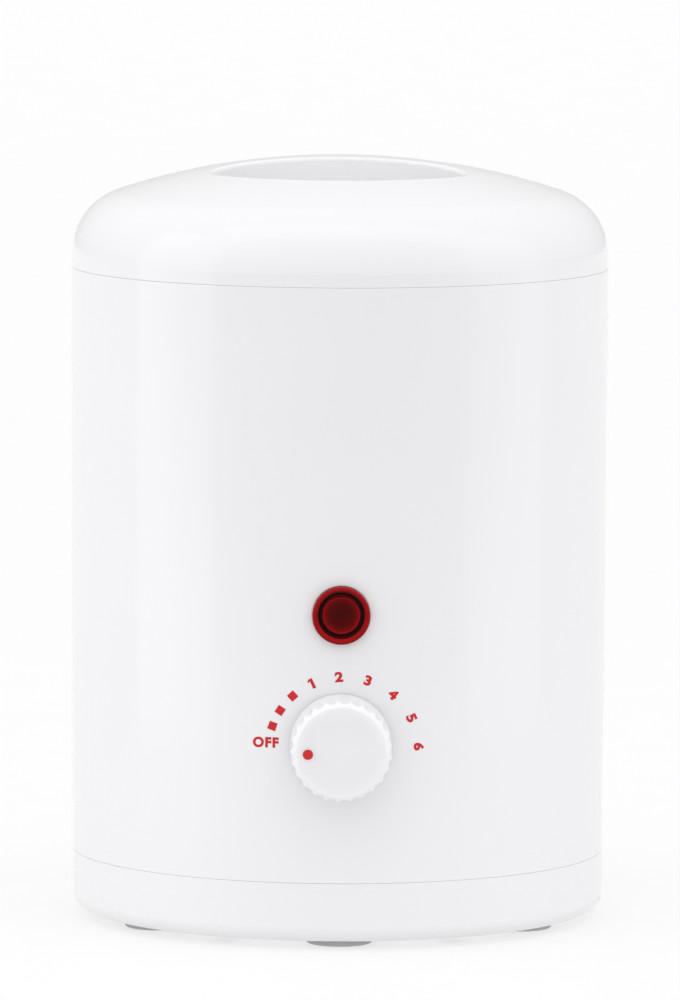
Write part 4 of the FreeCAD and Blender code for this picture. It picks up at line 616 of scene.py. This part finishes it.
class HEATER_OT_dial(StepBase, bpy.types.Operator):
    """Prints the dial round the knob: the word at the off place, three squares and six digits"""

    bl_idname = "heater.dial"
    bl_label = "Dial print"

    # The marks, and the degrees on the dial's circle at which they stand, counted from the right
    marks = (("OFF", 174.2), ("1", 115.6), ("2", 93.9), ("3", 71.5), ("4", 49.2), ("5", 26.0), ("6", 3.0))
    squares = (161.0, 147.6, 132.8)
    cuts = 4                            # of each edge, for the curve of the casing
    curve_steps = 6                     # of each bend in a letter
    merge = 0.001 * MM                  # points nearer than this are one
    clear = 10 * MM                     # how far in front of the knob a mark starts
    spacing = 1.16                      # of the letters, against the font's
    flag_share = 0.8                    # height of the stroke's lower end on the one, as a share
    flag_reach = (-0.15, -0.1, 0.0)     # how far the stroke goes, in the font's own unit

    def flag(self, bar):
        """Draws the short slanting stroke out of the top of the one, whose font shape is a plain bar."""
        alone(bar)
        points = [point.co for point in bar.data.vertices]
        left = min(point.x for point in points)
        low = min(point.y for point in points)
        split = low + self.flag_share * (max(point.y for point in points) - low)
        bpy.ops.object.mode_set(mode="EDIT")
        bpy.ops.mesh.select_mode(type="EDGE")
        bpy.ops.mesh.select_all(action="SELECT")
        bpy.ops.mesh.tris_convert_to_quads()
        bpy.ops.mesh.bisect(plane_co=bar.matrix_world @ Vector((0.0, split, 0.0)), plane_no=(0.0, 1.0, 0.0))
        bpy.ops.mesh.select_all(action="DESELECT")
        bpy.ops.object.mode_set(mode="OBJECT")
        for edge in bar.data.edges:
            ends = [bar.data.vertices[number].co for number in edge.vertices]
            edge.select = all(abs(end.x - left) < self.merge and end.y > split - self.merge for end in ends)
        bpy.ops.object.mode_set(mode="EDIT")
        bpy.ops.mesh.extrude_region_move(TRANSFORM_OT_translate={"value": self.flag_reach})
        bpy.ops.mesh.select_mode(type="VERT")
        bpy.ops.object.mode_set(mode="OBJECT")

    def stand(self, thing, size, stretch, radius, degrees, upright):
        """Scales a flat mark to its height, and stands it on the dial's circle in front of the casing."""
        dial = bpy.context.scene.heater_dial
        settle(thing)
        corners = [Vector(corner) for corner in thing.bound_box]
        low, high = corners[0], corners[6]
        middle = (low + high) / 2
        scale = size / (high.y - low.y)
        turn = 0.0 if upright else math.radians(degrees - 90)
        angle = math.radians(degrees)
        spot = Vector((dial.centre_side + radius * math.cos(angle), CAD_BOX[0][1] - self.clear,
                       dial.centre_height + radius * math.sin(angle)))
        thing.matrix_world = (Matrix.Translation(spot) @ Matrix.Rotation(math.pi / 2, 4, "X")
                              @ Matrix.Rotation(turn, 4, "Z")
                              @ Matrix.Diagonal((scale * stretch, scale, scale, 1))
                              @ Matrix.Translation(-middle))
        settle(thing)
        # Small faces can follow the curve of the casing
        bpy.ops.object.mode_set(mode="EDIT")
        bpy.ops.mesh.select_all(action="SELECT")
        bpy.ops.mesh.subdivide(number_cuts=self.cuts)
        bpy.ops.object.mode_set(mode="OBJECT")

    def execute(self, context):
        dial = context.scene.heater_dial
        pieces = []
        for word, degrees in self.marks:
            bpy.ops.object.select_all(action="DESELECT")
            bpy.ops.object.text_add()
            mark = context.object
            mark.data.body = word
            mark.data.offset = dial.boldness
            mark.data.resolution_u = self.curve_steps
            mark.data.space_character = self.spacing
            bpy.ops.object.convert(target="MESH")
            mark = context.object
            if word == "1":
                self.flag(mark)
            if len(word) > 1:
                self.stand(mark, dial.word_height, dial.word_stretch, dial.word_radius, degrees, True)
            else:
                self.stand(mark, dial.digit_height, dial.digit_stretch, dial.radius, degrees, False)
            pieces.append(mark)
        for degrees in self.squares:
            bpy.ops.object.select_all(action="DESELECT")
            bpy.ops.mesh.primitive_plane_add(size=1)
            self.stand(context.object, dial.square_side, 1.0, dial.radius, degrees, False)
            pieces.append(context.object)
        bpy.ops.object.select_all(action="DESELECT")
        for piece in pieces:
            piece.select_set(True)
        context.view_layer.objects.active = pieces[0]
        bpy.ops.object.join()
        ink = context.object
        ink.name = "dial_print"
        ink.data.name = "dial_print"
        # The print lies on the casing's curved front
        wrap = ink.modifiers.new("lay on casing", "SHRINKWRAP")
        wrap.target = NODES["outer_casing"]
        wrap.wrap_method = "PROJECT"
        wrap.use_project_x = False
        wrap.use_project_y = True
        wrap.use_project_z = False
        wrap.use_negative_direction = True
        wrap.use_positive_direction = True
        wrap.wrap_mode = "ABOVE_SURFACE"
        wrap.offset = dial.ink_depth
        bpy.ops.object.modifier_apply(modifier=wrap.name)
        thick = ink.modifiers.new("ink depth", "SOLIDIFY")
        thick.thickness = dial.ink_depth
        thick.offset = -1.0
        bpy.ops.object.modifier_apply(modifier=thick.name)
        bpy.ops.object.mode_set(mode="EDIT")
        bpy.ops.mesh.select_all(action="SELECT")
        bpy.ops.mesh.remove_doubles(threshold=self.merge)
        bpy.ops.mesh.normals_make_consistent(inside=False)
        bpy.ops.object.mode_set(mode="OBJECT")
        ink.data.materials.clear()
        ink.data.materials.append(bpy.data.materials["pad_printed_ink"])
        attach(ink, "housing")
        return {"FINISHED"}


class HEATER_OT_stage(StepBase, bpy.types.Operator):
    """Adds the floor, the white room, the soft boxes and the camera"""

    bl_idname = "heater.stage"
    bl_label = "Stage"

    # Places and sizes in metres, and the way in which the room is brightest
    side_place = (0.4255, -0.1465, 0.3)
    side_size = (0.31, 0.6)
    top_place = (0.0, -0.35, 1.2)
    top_size = (1.7, 0.5)
    bright_way = (0.0, -0.6, 0.8)
    # The table is dimmest before the first of these places along Y, and brightest behind the second
    glow_front = -0.75
    glow_back = -0.25
    # Offset of the camera to the right, its sensor's width in millimetres, and how far it sees in metres
    camera_side = 0.28 * MM
    sensor = 36.0
    sight = 50.0

    def soft_box(self, name, place, size, power):
        """Adds one soft box that faces the heater, and that the camera doesn't see."""
        bpy.ops.object.select_all(action="DESELECT")
        bpy.ops.object.light_add(type="AREA", location=place)
        light = bpy.context.object
        light.name = name
        aim = Vector((0.0, 0.0, min(place[2], self.side_place[2])))
        light.rotation_euler = (aim - Vector(place)).to_track_quat("-Z", "Y").to_euler()
        light.data.shape = "RECTANGLE"
        light.data.size, light.data.size_y = size
        light.data.energy = power
        light.visible_camera = False

    def execute(self, context):
        stage = context.scene.heater_stage
        scene = context.scene
        scene.view_settings.view_transform = "Standard"
        bpy.ops.object.select_all(action="DESELECT")
        bpy.ops.mesh.primitive_plane_add(size=stage.floor_width, location=(0, 0, CAD_BOX[0][2]))
        floor = context.object
        floor.name = "floor"
        # Opal acrylic lit from below: even white with hardly a shadow, and dimmer towards the camera
        sheet = moulded_plastic("opal_acrylic", linear("#888888"), 0.6)
        tree = sheet.node_tree
        shader = tree.nodes["Principled BSDF"]
        shader.inputs["Emission Color"].default_value = WHITE
        place = add(tree, "ShaderNodeTexCoord").outputs["Object"]
        parts = add(tree, "ShaderNodeSeparateXYZ", {"Vector": place})
        glow = add(tree, "ShaderNodeMapRange",
                   {"Value": parts.outputs["Y"], "From Min": self.glow_front, "From Max": self.glow_back,
                    "To Min": stage.front_light, "To Max": stage.table_light},
                   interpolation_type="SMOOTHSTEP")
        tree.links.new(glow.outputs[0], shader.inputs["Emission Strength"])
        floor.data.materials.append(sheet)
        room = bpy.data.worlds.new("white_room")
        room.use_nodes = True
        tree = room.node_tree
        way = add(tree, "ShaderNodeTexCoord").outputs["Generated"]
        facing = add(tree, "ShaderNodeVectorMath", {0: way, 1: self.bright_way}, operation="DOT_PRODUCT")
        light = add(tree, "ShaderNodeMapRange", {"Value": facing.outputs["Value"], "From Min": -1.0,
                                                 "To Min": stage.room_back, "To Max": stage.room_front})
        sky = tree.nodes["Background"]
        sky.inputs["Color"].default_value = WHITE
        tree.links.new(light.outputs[0], sky.inputs["Strength"])
        scene.world = room
        out, back, up = self.side_place
        self.soft_box("left_soft_box", (-out, back, up), self.side_size, stage.left_power)
        self.soft_box("right_soft_box", (out, back, up), self.side_size, stage.right_power)
        self.soft_box("top_soft_box", self.top_place, self.top_size, stage.top_power)
        bpy.ops.object.select_all(action="DESELECT")
        bpy.ops.object.camera_add()
        camera = context.object
        camera.name = "photo_camera"
        camera.matrix_world = (Matrix.Rotation(stage.camera_turn, 4, "Z")
                               @ Matrix.Translation((self.camera_side, -stage.camera_distance,
                                                     stage.camera_height))
                               @ Matrix.Rotation(math.pi / 2 - stage.camera_pitch, 4, "X")
                               @ Matrix.Rotation(stage.camera_roll, 4, "Z"))
        camera.data.lens = stage.camera_lens
        camera.data.sensor_width = self.sensor
        camera.data.clip_end = self.sight
        scene.camera = camera
        return {"FINISHED"}


STEPS = (HEATER_OT_shell, HEATER_OT_knob, HEATER_OT_lamp, HEATER_OT_pot, HEATER_OT_feet, HEATER_OT_works,
         HEATER_OT_sleeve, HEATER_OT_wiring, HEATER_OT_dial, HEATER_OT_stage)


class HEATER_PT_panel(bpy.types.Panel):
    """Lists the steps and their settings"""

    bl_label = "Wax Heater"
    bl_idname = "HEATER_PT_panel"
    bl_space_type = "VIEW_3D"
    bl_region_type = "UI"
    bl_category = "Wax Heater"

    def draw(self, context):
        for step in STEPS:
            self.layout.operator(step.bl_idname)
        scene = context.scene
        for settings in (scene.heater_finish, scene.heater_dial, scene.heater_felt, scene.heater_stage):
            box = self.layout.box()
            for name in settings.bl_rna.properties.keys():
                if name not in ("rna_type", "name"):
                    box.prop(settings, name)


CLASSES = (FinishSettings, DialSettings, FeltSettings, StageSettings, *STEPS, HEATER_PT_panel)


def register():
    for kind in CLASSES:
        bpy.utils.register_class(kind)
    bpy.types.Scene.heater_finish = PointerProperty(type=FinishSettings)
    bpy.types.Scene.heater_dial = PointerProperty(type=DialSettings)
    bpy.types.Scene.heater_felt = PointerProperty(type=FeltSettings)
    bpy.types.Scene.heater_stage = PointerProperty(type=StageSettings)


def unregister():
    del bpy.types.Scene.heater_stage
    del bpy.types.Scene.heater_felt
    del bpy.types.Scene.heater_dial
    del bpy.types.Scene.heater_finish
    for kind in reversed(CLASSES):
        bpy.utils.unregister_class(kind)


def main():
    register()
    make = bpy.ops.heater
    for step in (make.shell, make.knob, make.lamp, make.pot, make.feet, make.works, make.sleeve, make.wiring,
                 make.dial, make.stage):
        step()


if __name__ == "__main__":
    main()
